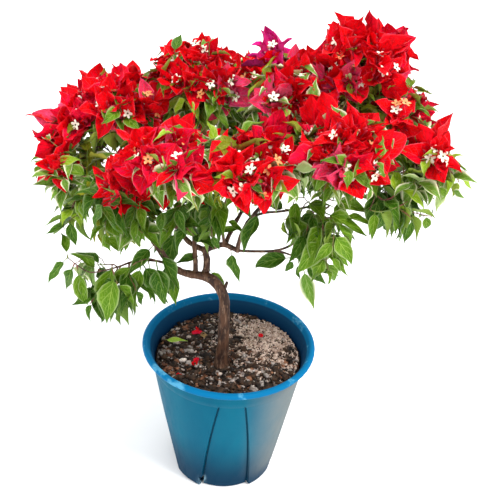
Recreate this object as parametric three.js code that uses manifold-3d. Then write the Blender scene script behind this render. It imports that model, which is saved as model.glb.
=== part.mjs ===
// A bougainvillea bush in its nursery pot.
// Millimetres, +Z up. The origin is the centre of the pot's flat underside, and -Y is the front.
// The pot is a thin moulded shell, the soil a plug inside it, and the plant stands on the soil:
// one trunk, its boughs, and the masses of leaf and flower that the boughs carry.

import * as THREE from 'three';
import { mergeVertices } from 'three/addons/utils/BufferGeometryUtils.js';
import Module from 'manifold-3d';

const wasm = await Module();
wasm.setup();

// Clearances
const SEAT_GAP = 0.3;            // between a piece and what carries it
const SOIL_GAP = 0.5;            // between the soil and the pot's stepped wall
const MASS_GAP = 0.5;            // between two foliage masses, which meet at a slant

// Pot: a 200 mm nursery pot
const POT_HEIGHT = 180.5;
const RIM_RADIUS = 100;          // outermost edge of the rolled lip
const LIP_RADIUS = 3.5;          // section of the rolled lip
const COLLAR_RADIUS = 90.5;      // wall just under the lip
const COLLAR_TOP = 168.5;
const COLLAR_FOOT = 154;         // the smooth collar ends here and the panels begin
const COLLAR_STEP = 0.6;
const BASE_RADIUS = 63;
const WALL = 2.2;
const FLOOR = 3;
const PANELS = 4;
const PANEL_TURN = 6.5;          // degrees from the front to the first panel's middle
const PANEL_TOP_SPAN = 10;       // degrees either side of the panel's middle, at the collar
const PANEL_FOOT_SPAN = 28;      // and at the base
const PANEL_RECESS = 4.7;        // how far the panel stands back at the base
const PANEL_EDGE = 1.2;          // degrees taken by the step at the panel's edge
const COLUMNS = 10;              // mesh columns round each quarter
const PANEL_COLUMNS = 2;         // of them, on each side of the panel's middle
const FOOT_CHAMFER = 2;
const SLOT_WIDTH = 3.5;
const SLOT_HEIGHT = 18;
const SLOT_REACH = 14;           // how deep the slot's cutter goes through the wall

// Soil
const SOIL_LEVEL = 157.5;
const SOIL_DOME = 2.5;           // rise from the wall to the middle
const SOIL_UNEVEN = 1.6;
const SEAT_RADIUS = 14;          // flat ground round the trunk's foot
const SEAT_STEP = 1;             // the ground round the seat stands this much above it
const SOIL_RADIUS = 84;
const SOIL_RINGS = [0.78, 0.5, 0.25];    // mesh rings on the ground, as shares of its radius
const SOIL_COLUMNS = 30;

// Plant
const FOOT = new THREE.Vector3(-6.4, -23.5, 158.6);
const LIMB_STEP = 15;            // length of one mesh step along a limb
const LIMB_CORE = 0.5;           // radius of the thin tube that a limb is swelled from
const THICK_LIMB = 4;            // a limb with a thicker root has one more side to each quarter
const BURIED_ROOT = 10.6;        // the trunk's line starts this far under its flat cut
const FLARE_LENGTH = 9;
const MASS_DETAIL = 2;
const UNEVEN = 0.13;             // how far a mass swells and shrinks, as a share of its size

const PLASTIC = 0x237a96;
const MIX = 0x4a3a30;
const BARK = 0x6d5245;
const LEAF = 0x2f5a1e;
const BRACT = 0xd3122a;

const degrees = Math.PI / 180;

// ---------------------------------------------------------------- solids and meshes

function solidOf(geometry) {
  const bare = geometry.clone();
  bare.deleteAttribute('normal');
  bare.deleteAttribute('uv');
  const welded = mergeVertices(bare, 1e-4);
  const mesh = new wasm.Mesh({
    numProp: 3,
    vertProperties: new Float32Array(welded.attributes.position.array),
    triVerts: new Uint32Array(welded.index.array),
  });
  return new wasm.Manifold(mesh);
}

function geometryOf(solid) {
  const { vertProperties, triVerts } = solid.getMesh();
  const geometry = new THREE.BufferGeometry();
  geometry.setAttribute('position', new THREE.BufferAttribute(vertProperties, 3));
  geometry.setIndex(new THREE.BufferAttribute(triVerts, 1));
  geometry.computeVertexNormals();
  return geometry;
}

// A cut can leave a crumb on the far side of its tool; the piece itself is the largest part.
function cut(solid, tools) {
  const left = tools.reduce((rest, tool) => rest.subtract(tool), solid);
  const parts = left.decompose();
  return parts.reduce((best, part) => (part.volume() > best.volume() ? part : best));
}

function piece(name, solid, color, roughness) {
  const material = new THREE.MeshStandardMaterial({ color, roughness, metalness: 0 });
  const mesh = new THREE.Mesh(geometryOf(solid), material);
  mesh.name = name;
  return mesh;
}

function eachVertex(geometry, move) {
  const { position } = geometry.attributes;
  const point = new THREE.Vector3();
  for (let i = 0; i < position.count; i += 1) {
    move(point.fromBufferAttribute(position, i));
    position.setXYZ(i, point.x, point.y, point.z);
  }
  return geometry;
}

// ---------------------------------------------------------------- pot and soil

function wallRadius(z) {
  const slope = (COLLAR_RADIUS - BASE_RADIUS) / COLLAR_TOP;
  return BASE_RADIUS + slope * z;
}

// Half the panel's span at a height, in degrees.
function panelSpan(z) {
  const rise = THREE.MathUtils.clamp(z / COLLAR_FOOT, 0, 1);
  return THREE.MathUtils.lerp(PANEL_FOOT_SPAN, PANEL_TOP_SPAN, rise);
}

// A turned shape whose lower wall stands back in four panels. The even mesh columns of each
// quarter are moved so that two of them run along the panel's slanting edges.
function turnedWithPanels(profile) {
  const turned = new THREE.LatheGeometry(profile, PANELS * COLUMNS).rotateX(Math.PI / 2);
  const quarter = 360 / PANELS;
  return eachVertex(turned, (point) => {
    const radius = Math.hypot(point.x, point.y);
    if (radius < 1e-3) return;
    const turn = Math.atan2(point.x, -point.y) / degrees;
    const panel = Math.round(turn / quarter);
    const column = Math.round((turn / quarter - panel) * COLUMNS);
    const away = Math.abs(column);
    const edge = panelSpan(point.z);
    let offset = edge * away / PANEL_COLUMNS;
    let recess = PANEL_RECESS * Math.max(0, 1 - point.z / COLLAR_FOOT);
    if (away > PANEL_COLUMNS) {
      const share = (away - PANEL_COLUMNS - 1) / (COLUMNS / 2 - PANEL_COLUMNS - 1);
      offset = THREE.MathUtils.lerp(edge + PANEL_EDGE, quarter / 2, share);
      recess = 0;
    }
    const angle = (panel * quarter + Math.sign(column) * offset + PANEL_TURN) * degrees;
    const reach = radius - recess * Math.min(1, radius / BASE_RADIUS);
    point.x = reach * Math.sin(angle);
    point.y = -reach * Math.cos(angle);
  });
}

// The shell's section. The soil is cut with a shell whose inner faces stand in by a clearance.
function potProfile(clearance) {
  const inset = WALL + clearance;
  const lipCentre = RIM_RADIUS - LIP_RADIUS;
  const lipHeight = POT_HEIGHT - LIP_RADIUS;
  const points = [
    [0, 0],
    [BASE_RADIUS - FOOT_CHAMFER, 0],
    [wallRadius(FOOT_CHAMFER), FOOT_CHAMFER],
    [wallRadius(COLLAR_FOOT / 2), COLLAR_FOOT / 2],
    [wallRadius(COLLAR_FOOT) - COLLAR_STEP, COLLAR_FOOT],
    [wallRadius(COLLAR_FOOT), COLLAR_FOOT + COLLAR_STEP],
    [COLLAR_RADIUS, COLLAR_TOP],
    [lipCentre - WALL / 2, lipHeight - LIP_RADIUS],
  ];
  for (let turn = -60; turn <= 180; turn += 60) {
    points.push([
      lipCentre + LIP_RADIUS * Math.cos(turn * degrees),
      lipHeight + LIP_RADIUS * Math.sin(turn * degrees),
    ]);
  }
  points.push(
    [COLLAR_RADIUS - inset, COLLAR_TOP],
    [wallRadius(COLLAR_FOOT) - inset - COLLAR_STEP, COLLAR_FOOT],
    [wallRadius(COLLAR_FOOT / 2) - inset, COLLAR_FOOT / 2],
    [wallRadius(FLOOR + clearance) - inset, FLOOR + clearance],
    [0, FLOOR + clearance],
  );
  return points.map(([r, z]) => new THREE.Vector2(r, z));
}

// Drain slots at the foot of each panel's left edge, right through the wall.
function drainSlots() {
  const slots = [];
  for (let panel = 0; panel < PANELS; panel += 1) {
    const turn = panel * 360 / PANELS + PANEL_TURN - PANEL_FOOT_SPAN;
    const slot = new THREE.BoxGeometry(SLOT_WIDTH, SLOT_REACH, SLOT_HEIGHT * 2);
    slot.translate(0, -BASE_RADIUS, 0).rotateZ(turn * degrees);
    slots.push(solidOf(slot));
  }
  return slots;
}

function pot() {
  const shell = solidOf(turnedWithPanels(potProfile(0)));
  return piece('pot', cut(shell, drainSlots()), PLASTIC, 0.6);
}

// The ground is a low uneven dome, raised a little where the trunk's seat is cut into it.
function soilRise(x, y) {
  const outward = Math.hypot(x, y) / SOIL_RADIUS;
  const waves = Math.sin(x / 13 + 1) * Math.cos(y / 11) + 0.5 * Math.sin((x - y) / 7);
  const rise = SOIL_DOME * (1 - outward ** 2) + SOIL_UNEVEN * waves;
  const seat = FOOT.z + SEAT_STEP - SOIL_LEVEL;
  const fromFoot = Math.hypot(x - FOOT.x, y - FOOT.y);
  const nearFoot = 1 - THREE.MathUtils.smoothstep(fromFoot, SEAT_RADIUS, 2 * SEAT_RADIUS);
  return THREE.MathUtils.lerp(rise, seat, nearFoot) * Math.max(0, 1 - outward ** 4);
}

// The flat ground that the trunk's cut foot stands on.
function seatCutter() {
  const height = 20;
  const sides = 20;
  const ground = new THREE.CylinderGeometry(SEAT_RADIUS, SEAT_RADIUS, height, sides);
  ground.rotateX(Math.PI / 2);
  ground.translate(FOOT.x, FOOT.y, FOOT.z - SEAT_GAP + height / 2);
  return solidOf(ground);
}

function soil() {
  const points = [
    [0, FLOOR],
    [wallRadius(FLOOR) - WALL / 2, FLOOR],
    [wallRadius(SOIL_LEVEL) - WALL / 2, SOIL_LEVEL],
    ...SOIL_RINGS.map((share) => [SOIL_RADIUS * share, SOIL_LEVEL]),
    [0, SOIL_LEVEL],
  ];
  const profile = points.map(([r, z]) => new THREE.Vector2(r, z));
  const plug = new THREE.LatheGeometry(profile, SOIL_COLUMNS).rotateX(Math.PI / 2);
  eachVertex(plug, (point) => {
    if (point.z > SOIL_LEVEL - 0.1) point.z += soilRise(point.x, point.y);
  });
  const shell = solidOf(turnedWithPanels(potProfile(SOIL_GAP)));
  return piece('soil', cut(solidOf(plug), [shell, seatCutter()]), MIX, 0.95);
}

// ---------------------------------------------------------------- trunk and boughs

// Each limb runs through a few points from root to tip and tapers evenly between two radii.
const LIMBS = [
  {
    name: 'trunk', root: 6.9, tip: 5.6, flare: 2.8,
    through: [
      [-6.4, -24, FOOT.z - BURIED_ROOT], [-6.2, -22, 190], [-6.4, -20, 222], [-8.5, -18, 250], [-19, -15, 265],
      [-33, -12, 271],
    ],
  },
  {
    name: 'bough_left', root: 4.6, tip: 1.8,
    through: [
      [-29, -12.5, 270], [-46, -14, 272], [-58, -16, 276], [-68, -18, 286], [-80, -21, 306],
      [-96, -22, 334], [-106, -20, 352],
    ],
  },
  {
    name: 'bough_low_left', root: 1.5, tip: 1,
    through: [[-66, -18, 284], [-82, -24, 291], [-100, -32, 294], [-118, -39, 289]],
  },
  {
    name: 'bough_upright', root: 4, tip: 3.4,
    through: [[-30, -11, 268], [-29, -8, 279], [-29.5, -5, 288], [-32.5, -2, 298]],
  },
  {
    name: 'bough_crossing', root: 2.7, tip: 1.3,
    through: [
      [-40, -13, 271], [-41, -10, 284], [-43, -4, 304], [-46, 6, 334], [-46, 15, 366],
      [-45, 22, 402], [-46, 24, 442],
    ],
  },
  {
    name: 'bough_mid_left', root: 3, tip: 1.5,
    through: [
      [-30, -3, 296], [-42, 3, 297], [-54, 11, 301], [-70, 26, 316], [-84, 44, 344],
      [-91, 66, 384],
    ],
  },
  {
    name: 'bough_mid_right', root: 3.2, tip: 2.6,
    through: [[-33, -2, 296], [-22, -6, 303], [-11, -10, 308.5], [4, -14, 305]],
  },
  {
    name: 'bough_centre', root: 1.6, tip: 1.2,
    through: [
      [-11, -10, 308], [-14, -16, 334], [-15.5, -18, 346], [-12, -22, 359], [-9, -28, 378],
      [-10, -38, 402], [-14, -50, 418],
    ],
  },
  {
    name: 'bough_rising', root: 2.3, tip: 1.3,
    through: [
      [3, -14, 304], [5.5, -16, 322], [10.5, -18, 337], [17, -20, 350], [29, -24, 369],
      [43, -38, 392], [60, -58, 428],
    ],
  },
  {
    name: 'bough_thin_right', root: 1.4, tip: 1,
    through: [[16, -19.6, 348], [28, -21, 354], [46, -20, 357], [74, -18, 364], [104, -18, 382]],
  },
  {
    name: 'bough_low_right', root: 1.5, tip: 1.1,
    through: [
      [2, -14, 305], [17, -14, 305], [45, -12, 307.5], [62, -10, 317], [68, -8, 332],
      [77, -10, 346], [92, -20, 366],
    ],
  },
  {
    name: 'bough_low_spray', root: 1.2, tip: 0.8,
    through: [[45, -12, 307], [55, -10, 303.5], [66, -8, 298.5], [76, -6.5, 292]],
  },
  {
    name: 'bough_back', root: 2.4, tip: 1.3,
    through: [[-10, -9, 309], [-4, 6, 320], [10, 34, 342], [26, 66, 372], [34, 92, 402]],
  },
];

function limbRadius(limb, length, along) {
  const taper = THREE.MathUtils.lerp(limb.root, limb.tip, along);
  return taper + (limb.flare ?? 0) * Math.exp(-Math.max(0, along * length - BURIED_ROOT) / FLARE_LENGTH);
}

// A thin tube is swept along the limb, then each ring is swelled about its own centre.
function limbSolid(limb, grow = 0) {
  const path = new THREE.CatmullRomCurve3(limb.through.map((point) => new THREE.Vector3(...point)));
  const length = path.getLength();
  const steps = Math.ceil(length / LIMB_STEP);
  const core = new THREE.Shape().absarc(0, 0, LIMB_CORE, 0, 2 * Math.PI);
  const curveSegments = limb.root > THICK_LIMB ? 4 : 3;
  const tube = new THREE.ExtrudeGeometry(core, { steps, extrudePath: path, curveSegments });
  const centres = path.getSpacedPoints(steps);
  eachVertex(tube, (point) => {
    let ring = 0;
    centres.forEach((centre, i) => {
      if (centre.distanceTo(point) < centres[ring].distanceTo(point)) ring = i;
    });
    const radius = limbRadius(limb, length, ring / steps) + grow;
    point.sub(centres[ring]).multiplyScalar(radius / LIMB_CORE).add(centres[ring]);
    const past = (ring === 0 ? -grow : 0) + (ring === steps ? grow : 0);
    point.addScaledVector(path.getTangentAt(ring / steps), past);
  });
  return solidOf(tube);
}

function belowGround() {
  const size = 60;
  const block = new THREE.BoxGeometry(size, size, size);
  return solidOf(block.translate(FOOT.x, FOOT.y, FOOT.z - size / 2));
}

// ---------------------------------------------------------------- foliage masses

// Each mass is an uneven egg: its middle, its half sizes, and a lean about the front-back axis.
const MASSES = [
  { name: 'mass_front_centre', at: [17, -100, 434], half: [46, 48, 28], lean: 4 },
  { name: 'mass_front_left', at: [-48, -84, 428], half: [45, 48, 34], lean: 8 },
  { name: 'mass_front_right', at: [92, -82, 446], half: [46, 56, 34], lean: -6 },
  { name: 'mass_top_right', at: [110, 24, 491], half: [50, 50, 45], lean: 6 },
  { name: 'mass_top_left', at: [-50, 22, 469], half: [52, 52, 44], lean: -4 },
  { name: 'mass_top_middle', at: [40, -8, 463], half: [42, 56, 38], lean: 0 },
  { name: 'mass_shoulder_left', at: [-132, 12, 437], half: [58, 56, 40], lean: -22 },
  { name: 'mass_tip_left', at: [-167, -14, 395], half: [35, 44, 32], lean: -24 },
  { name: 'mass_shoulder_right', at: [148, 6, 454], half: [36, 50, 40], lean: 20 },
  { name: 'mass_tip_right', at: [181, -24, 420], half: [42, 48, 30], lean: 20 },
  { name: 'mass_low_left', at: [-108, -38, 368], half: [50, 48, 38], lean: -8 },
  { name: 'mass_hanging_tip_left', at: [-172, -22, 344], half: [32, 34, 28], lean: 10 },
  { name: 'mass_hanging_left', at: [-126, -44, 275], half: [50, 34, 45], lean: 16 },
  { name: 'mass_hanging_inner', at: [-42, -56, 362], half: [42, 38, 32], lean: 12 },
  { name: 'mass_hanging_middle', at: [86, -54, 350], half: [38, 38, 42], lean: -8 },
  { name: 'mass_hanging_right', at: [160, -34, 378], half: [38, 38, 26], lean: 8 },
  { name: 'mass_low_spray', at: [67, -8, 284], half: [38, 24, 14], lean: -6 },
  { name: 'mass_heart', at: [2, 46, 428], half: [52, 40, 42], lean: 0 },
  { name: 'mass_back_left', at: [-92, 104, 412], half: [60, 58, 46], lean: -10 },
  { name: 'mass_back_middle', at: [4, 118, 432], half: [56, 52, 46], lean: 0 },
  { name: 'mass_back_right', at: [98, 104, 430], half: [60, 58, 46], lean: 10 },
  { name: 'mass_hanging_back_left', at: [-78, 112, 340], half: [44, 40, 34], lean: -6 },
  { name: 'mass_hanging_back_right', at: [84, 112, 352], half: [46, 40, 36], lean: 8 },
];

function unevenness(direction, seed) {
  const { x, y, z } = direction;
  const phase = (k) => 2 * Math.PI * ((seed * 0.618 * k) % 1);
  const broad = Math.sin(2.7 * x + phase(1)) * Math.cos(2.3 * y + phase(2));
  const fine = Math.sin(4.6 * z + 2.1 * x + phase(3)) * Math.cos(4.1 * y + phase(5));
  return UNEVEN * (broad + 0.7 * fine);
}

function massSolid(mass, seed, grow = 0) {
  const ball = new THREE.IcosahedronGeometry(1, MASS_DETAIL);
  eachVertex(ball, (point) => {
    const swell = 1 + unevenness(point, seed);
    point.set(...mass.half.map((size, axis) => point.getComponent(axis) * (size * swell + grow)));
  });
  ball.rotateY(mass.lean * degrees).translate(...mass.at);
  return solidOf(ball);
}

// ---------------------------------------------------------------- the whole plant

const group = new THREE.Group();
group.add(pot(), soil());

const limbTools = [];
LIMBS.forEach((limb) => {
  const ground = limb.name === 'trunk' ? [belowGround()] : [];
  group.add(piece(limb.name, cut(limbSolid(limb), [...ground, ...limbTools]), BARK, 0.85));
  limbTools.push(limbSolid(limb, SEAT_GAP));
});

const massTools = [];
MASSES.forEach((mass, i) => {
  const solid = cut(massSolid(mass, i + 1), [...limbTools, ...massTools]);
  const color = /hanging|spray/.test(mass.name) ? LEAF : BRACT;
  group.add(piece(mass.name, solid, color, 0.8));
  massTools.push(massSolid(mass, i + 1, MASS_GAP));
});

export default group;
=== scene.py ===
import math
from collections import namedtuple

import bmesh
import bpy
import numpy as np
from mathutils import Matrix, Vector, noise
from mathutils.bvhtree import BVHTree


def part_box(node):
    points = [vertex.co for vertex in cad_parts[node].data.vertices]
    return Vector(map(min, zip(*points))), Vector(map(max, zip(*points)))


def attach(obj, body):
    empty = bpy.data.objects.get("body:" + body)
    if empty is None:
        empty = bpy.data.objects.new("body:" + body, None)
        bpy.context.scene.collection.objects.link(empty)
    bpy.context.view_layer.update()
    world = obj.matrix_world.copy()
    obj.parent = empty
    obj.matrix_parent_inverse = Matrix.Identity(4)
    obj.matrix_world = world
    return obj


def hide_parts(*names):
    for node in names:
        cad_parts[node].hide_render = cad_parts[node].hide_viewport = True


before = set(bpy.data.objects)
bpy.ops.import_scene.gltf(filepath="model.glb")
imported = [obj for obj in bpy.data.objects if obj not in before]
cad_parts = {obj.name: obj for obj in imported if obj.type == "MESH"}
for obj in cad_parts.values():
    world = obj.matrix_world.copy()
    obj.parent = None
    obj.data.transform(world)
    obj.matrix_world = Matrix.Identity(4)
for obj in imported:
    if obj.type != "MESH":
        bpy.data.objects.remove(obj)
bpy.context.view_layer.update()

# Camera: it looks down on the plant from the front, and is turned a little about its own axis,
# as a camera held by hand is.
camera_at = Vector((0.0165, -0.6130, 0.6348))
camera_pitch = math.radians(61.28)
camera_roll = math.radians(4.184)
scene = bpy.context.scene
lens = bpy.data.cameras.new("camera")
lens.lens = 46.8
lens.sensor_width = 36
lens.clip_end = 50
camera = bpy.data.objects.new("camera", lens)
scene.collection.objects.link(camera)
camera.matrix_world = (Matrix.Translation(camera_at) @ Matrix.Rotation(camera_pitch, 4, "X")
                       @ Matrix.Rotation(camera_roll, 4, "Z"))
scene.camera = camera
scene.view_settings.view_transform = "Standard"


# Studio: a plain pale floor, a soft key light from the upper right, and an even white sky.
def linear(code):
    """A colour written as six hex digits, as the linear numbers that a shader takes."""
    shares = [int(code[i:i + 2], 16) / 255 for i in (0, 2, 4)]
    return tuple(s / 12.92 if s < 0.04 else ((s + 0.055) / 1.055) ** 2.4 for s in shares) + (1.0,)


def put(tree, kind, inputs=None, **settings):
    """Adds a node. Each input is a plain value or the socket that feeds it."""
    node = tree.nodes.new(kind)
    for name, value in settings.items():
        setattr(node, name, value)
    for key, value in (inputs or {}).items():
        if isinstance(value, bpy.types.NodeSocket):
            tree.links.new(value, node.inputs[key])
        else:
            node.inputs[key].default_value = value
    return node


def rise(tree, value, low, high):
    """A soft step from 0 to 1 as the value goes from low to high."""
    step = put(tree, "ShaderNodeMapRange", {0: value, 1: low, 2: high}, interpolation_type="SMOOTHSTEP")
    return step.outputs[0]


def work(tree, operation, first, second=0.0):
    """One step of arithmetic."""
    return put(tree, "ShaderNodeMath", {0: first, 1: second}, operation=operation).outputs[0]


def scaled(tree, value, slope, level):
    """A value times a slope, plus a level."""
    return put(tree, "ShaderNodeMath", {0: value, 1: slope, 2: level}, operation="MULTIPLY_ADD").outputs[0]


def tint(tree, share, first, second, strength=None):
    """The first colour turning into the second one. Colours are hex digits or sockets."""
    if strength is not None:
        share = work(tree, "MULTIPLY", share, strength)
    first, second = (linear(colour) if isinstance(colour, str) else colour for colour in (first, second))
    return put(tree, "ShaderNodeMix", {0: share, 6: first, 7: second}, data_type="RGBA").outputs[2]


def finish(name, **constants):
    """A new material with its Principled shader, whose plain numbers are set on the shader itself."""
    material = bpy.data.materials.new(name)
    material.use_nodes = True
    tree = material.node_tree
    shader = tree.nodes["Principled BSDF"]
    for key, value in constants.items():
        shader.inputs[key.replace("_", " ")].default_value = value
    return material, tree, shader


def group_of(name, inputs, outputs):
    """An empty node group with named sockets, and its two end nodes."""
    group = bpy.data.node_groups.new(name, "ShaderNodeTree")
    for socket, value in inputs.items():
        kind = "NodeSocketVector" if isinstance(value, tuple) else "NodeSocketFloat"
        group.interface.new_socket(socket, in_out="INPUT", socket_type=kind).default_value = value
    for socket in outputs:
        group.interface.new_socket(socket, in_out="OUTPUT", socket_type="NodeSocketFloat")
    return group, put(group, "NodeGroupInput"), put(group, "NodeGroupOutput")


# Uneven tone over a surface, from its place on the object: paler patches, damp and clods, and the painted
# glints on the pot's lip.
mottle, given, gives = group_of("mottle", {"Stretch": (1.0, 1.0, 1.0), "Scale": 40.0, "Low": 0.4,
                                           "High": 0.6}, ["Mask", "Height"])
place = put(mottle, "ShaderNodeTexCoord").outputs["Object"]
stretched = put(mottle, "ShaderNodeMapping", {"Vector": place, "Scale": given.outputs["Stretch"]})
cloud = put(mottle, "ShaderNodeTexNoise", {"Vector": stretched.outputs[0], "Scale": given.outputs["Scale"],
                                           "Detail": 4.0, "Roughness": 0.62})
clouded = rise(mottle, cloud.outputs[0], given.outputs["Low"], given.outputs["High"])
mottle.links.new(clouded, gives.inputs["Mask"])
mottle.links.new(cloud.outputs[0], gives.inputs["Height"])


def mottled(tree, scale, low=0.4, high=0.6, stretch=(1.0, 1.0, 1.0)):
    """Places the uneven tone in a material, and gives its Mask and its Height."""
    node = put(tree, "ShaderNodeGroup", node_tree=mottle)
    for socket, value in (("Stretch", stretch), ("Scale", scale), ("Low", low), ("High", high)):
        node.inputs[socket].default_value = value
    return node.outputs["Mask"], node.outputs["Height"]


def bump(tree, shader, height, distance, strength=1.0):
    """Raises the surface by a height that a pattern gives."""
    node = put(tree, "ShaderNodeBump", {"Height": height, "Distance": distance, "Strength": strength})
    tree.links.new(node.outputs[0], shader.inputs["Normal"])


def model(name, mesh, material=None):
    """Puts a finished mesh in the scene as an object at the origin."""
    thing = bpy.data.objects.new(name, mesh)
    scene.collection.objects.link(thing)
    if material:
        mesh.materials.append(material)
    return thing


def mesh_from(made, name):
    """The mesh of a finished bmesh, which is then freed."""
    mesh = bpy.data.meshes.new(name)
    made.to_mesh(mesh)
    made.free()
    return mesh


def paint(tree, shader, tone, roughness=None):
    """Feeds a colour, and where it is given a roughness, to a shader."""
    tree.links.new(tone, shader.inputs["Base Color"])
    if roughness is not None:
        tree.links.new(roughness, shader.inputs["Roughness"])


floor_half = 8.0
floor_sheet = bmesh.new()
bmesh.ops.create_grid(floor_sheet, x_segments=1, y_segments=1, size=floor_half)
paper, tree, shader = finish("floor_paper", Roughness=0.9)
paint(tree, shader, tint(tree, mottled(tree, 3.0)[0], "f7f7f7", "fbfbfb"))
model("floor", mesh_from(floor_sheet, "floor"), paper)

key = bpy.data.lights.new("key", "SUN")
key.energy = 2.2
key.angle = math.radians(14)
key.color = (1.0, 0.98, 0.95)
key_lamp = bpy.data.objects.new("key", key)
key_way = Vector((-0.42, 0.30, -0.86))
key_lamp.rotation_euler = key_way.to_track_quat("-Z", "Y").to_euler()
scene.collection.objects.link(key_lamp)

sky = bpy.data.worlds.new("sky")
sky.use_nodes = True
backdrop = sky.node_tree.nodes["Background"]
backdrop.inputs["Color"].default_value = (0.97, 0.985, 1.0, 1.0)
backdrop.inputs["Strength"].default_value = 1.48
scene.world = sky

# Pot: an injection-moulded nursery pot of teal polypropylene, one thin shell with a rolled lip.
# Four panels stand back in its lower wall, each between two narrow grooves, and a drain slot is
# cut at the foot of each panel's left groove. Spans and turns are in degrees.
mm = 0.001
pot_height = 180.5 * mm
rim_radius = 100 * mm
lip_radius = 3.5 * mm
collar_radius = 90.5 * mm
collar_top = 168.5 * mm
collar_foot = 154 * mm
collar_step = 0.7 * mm
collar_waist = 161 * mm
base_radius = 63 * mm
wall = 2.2 * mm
pot_floor = 3 * mm
panels = 4
quarter = 360 / panels
panel_turn = 6.5
panel_top_span = 10
panel_foot_span = 28
panel_recess = 4.7 * mm
groove_depth = 1.5 * mm
groove_edges = (1.9, 0.6)
quarter_columns = 40
plain_columns = 11
slot_inset = 0.9
slot_width = 3.4 * mm
slot_height = 18 * mm
notch_width = 3.2 * mm
notch_height = 2.6 * mm
weld = 1e-6


def wall_radius(z):
    """Outer radius of the tapered wall at a height."""
    return base_radius + (collar_radius - base_radius) / collar_top * z


def pot_section():
    """The shell's section from the middle of its underside, up the outside and down the inside."""
    points = [(0, 0), (base_radius * 0.5, 0), (base_radius - 3.2 * mm, 0), (base_radius - 1.2 * mm, 0.5 * mm)]
    levels = [1.6 * mm] + [z * mm for z in range(4, 26, 2)]
    levels += [z * mm for z in range(30, 154, 8)] + [152.5 * mm]
    points += [(wall_radius(z), z) for z in levels]
    points += [(wall_radius(collar_foot) - 0.1 * mm, collar_foot - 0.4 * mm),
               (wall_radius(collar_foot) + collar_step, collar_foot + 0.5 * mm),
               (wall_radius(collar_waist) + collar_step * 0.6, collar_waist),
               (collar_radius, collar_top), (collar_radius + 1.2 * mm, collar_top + 2.6 * mm)]
    middle = rim_radius - lip_radius
    top = pot_height - lip_radius
    for turn in range(-75, 181, 17):
        points.append((middle + lip_radius * math.cos(math.radians(turn)),
                       top + lip_radius * math.sin(math.radians(turn))))
    points += [(collar_radius - wall + 1 * mm, collar_top + 3 * mm), (collar_radius - wall, collar_top),
               (wall_radius(collar_foot) - wall - 0.4 * mm, collar_foot)]
    points += [(wall_radius(z * mm) - wall, z * mm) for z in (140, 110, 80, 50, 30, 16)]
    points += [(wall_radius(pot_floor) - wall - 1 * mm, pot_floor + 1 * mm),
               (wall_radius(pot_floor) - wall - 4 * mm, pot_floor), (0, pot_floor)]
    return points


def panel_span(z):
    """Half of a panel's width at a height."""
    return panel_foot_span + (panel_top_span - panel_foot_span) * min(max(z / collar_foot, 0), 1)


shell = bmesh.new()
section = [shell.verts.new((r, 0, z)) for r, z in pot_section()]
section_edges = [shell.edges.new(pair) for pair in zip(section, section[1:])]
turned_about_z = {"cent": (0, 0, 0), "axis": (0, 0, 1), "angle": math.tau, "use_merge": True}
bmesh.ops.spin(shell, geom=section + section_edges, steps=panels * quarter_columns, **turned_about_z)
bmesh.ops.remove_doubles(shell, verts=shell.verts, dist=weld)
bmesh.ops.recalc_face_normals(shell, faces=shell.faces)
groove_mark = shell.verts.layers.float.new("groove")
inner_mark = shell.verts.layers.float.new("inner")
for vert in shell.verts:
    radius = math.hypot(vert.co.x, vert.co.y)
    if radius < 1e-4:
        continue
    z = vert.co.z
    turn = math.degrees(math.atan2(vert.co.x, -vert.co.y))
    panel = round(turn / quarter)
    column = round((turn / quarter - panel) * quarter_columns)
    away = abs(column)
    outside = radius > wall_radius(z) - wall / 2
    vert[inner_mark] = 0.0 if outside else 1.0
    edge = panel_span(z)
    one_mm = math.degrees(mm / radius)
    recess = panel_recess * max(0, 1 - z / collar_foot)
    grooved = away - plain_columns in (1, 2)
    if away <= plain_columns:
        offset = (edge - 2.4 * one_mm) * away / plain_columns
    elif grooved:
        offset = edge - groove_edges[away - plain_columns - 1] * one_mm
    else:
        share = (away - plain_columns - 3) / (quarter_columns / 2 - plain_columns - 3)
        offset = edge + (quarter / 2 - edge) * share
        recess = 0
    if grooved and outside and z < collar_foot - 1 * mm:
        recess += groove_depth
        vert[groove_mark] = 1.0
    angle = math.radians(panel * quarter + math.copysign(offset, column) + panel_turn)
    reach = radius - recess * min(1, radius / base_radius)
    vert.co.x = reach * math.sin(angle)
    vert.co.y = -reach * math.cos(angle)
pot = model("nursery_pot", mesh_from(shell, "nursery_pot"))

# The punch that cuts the foot of the wall: a drain slot at each panel's left groove and a small
# notch at its right one, both with rounded heads.
punch = bmesh.new()
punch_depth = 16 * mm
for panel in range(panels):
    for side, width, height in ((-1, slot_width, slot_height), (1, notch_width, notch_height)):
        turn = math.radians(panel * quarter + panel_turn + side * (panel_foot_span - slot_inset))
        slot = bmesh.ops.create_cube(punch, size=1)["verts"]
        bmesh.ops.scale(punch, vec=(width, punch_depth, height * 2), verts=slot)
        upper_edges = {edge for vert in slot for edge in vert.link_edges
                       if min(end.co.z for end in edge.verts) > 0}
        head = {edge for edge in upper_edges if abs(edge.verts[0].co.x - edge.verts[1].co.x) < weld}
        bmesh.ops.bevel(punch, geom=list(head), offset=width * 0.45, affect="EDGES", segments=3,
                        profile=0.5, material=-1)
        slot = [vert for vert in punch.verts if vert.co.xy.length < punch_depth * 0.625]
        bmesh.ops.translate(punch, vec=(0, 2 * mm - base_radius, 0), verts=slot)
        bmesh.ops.rotate(punch, cent=(0, 0, 0), matrix=Matrix.Rotation(turn, 3, "Z"), verts=slot)
slot_punch = model("slot_punch", mesh_from(punch, "slot_punch"))


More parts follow.
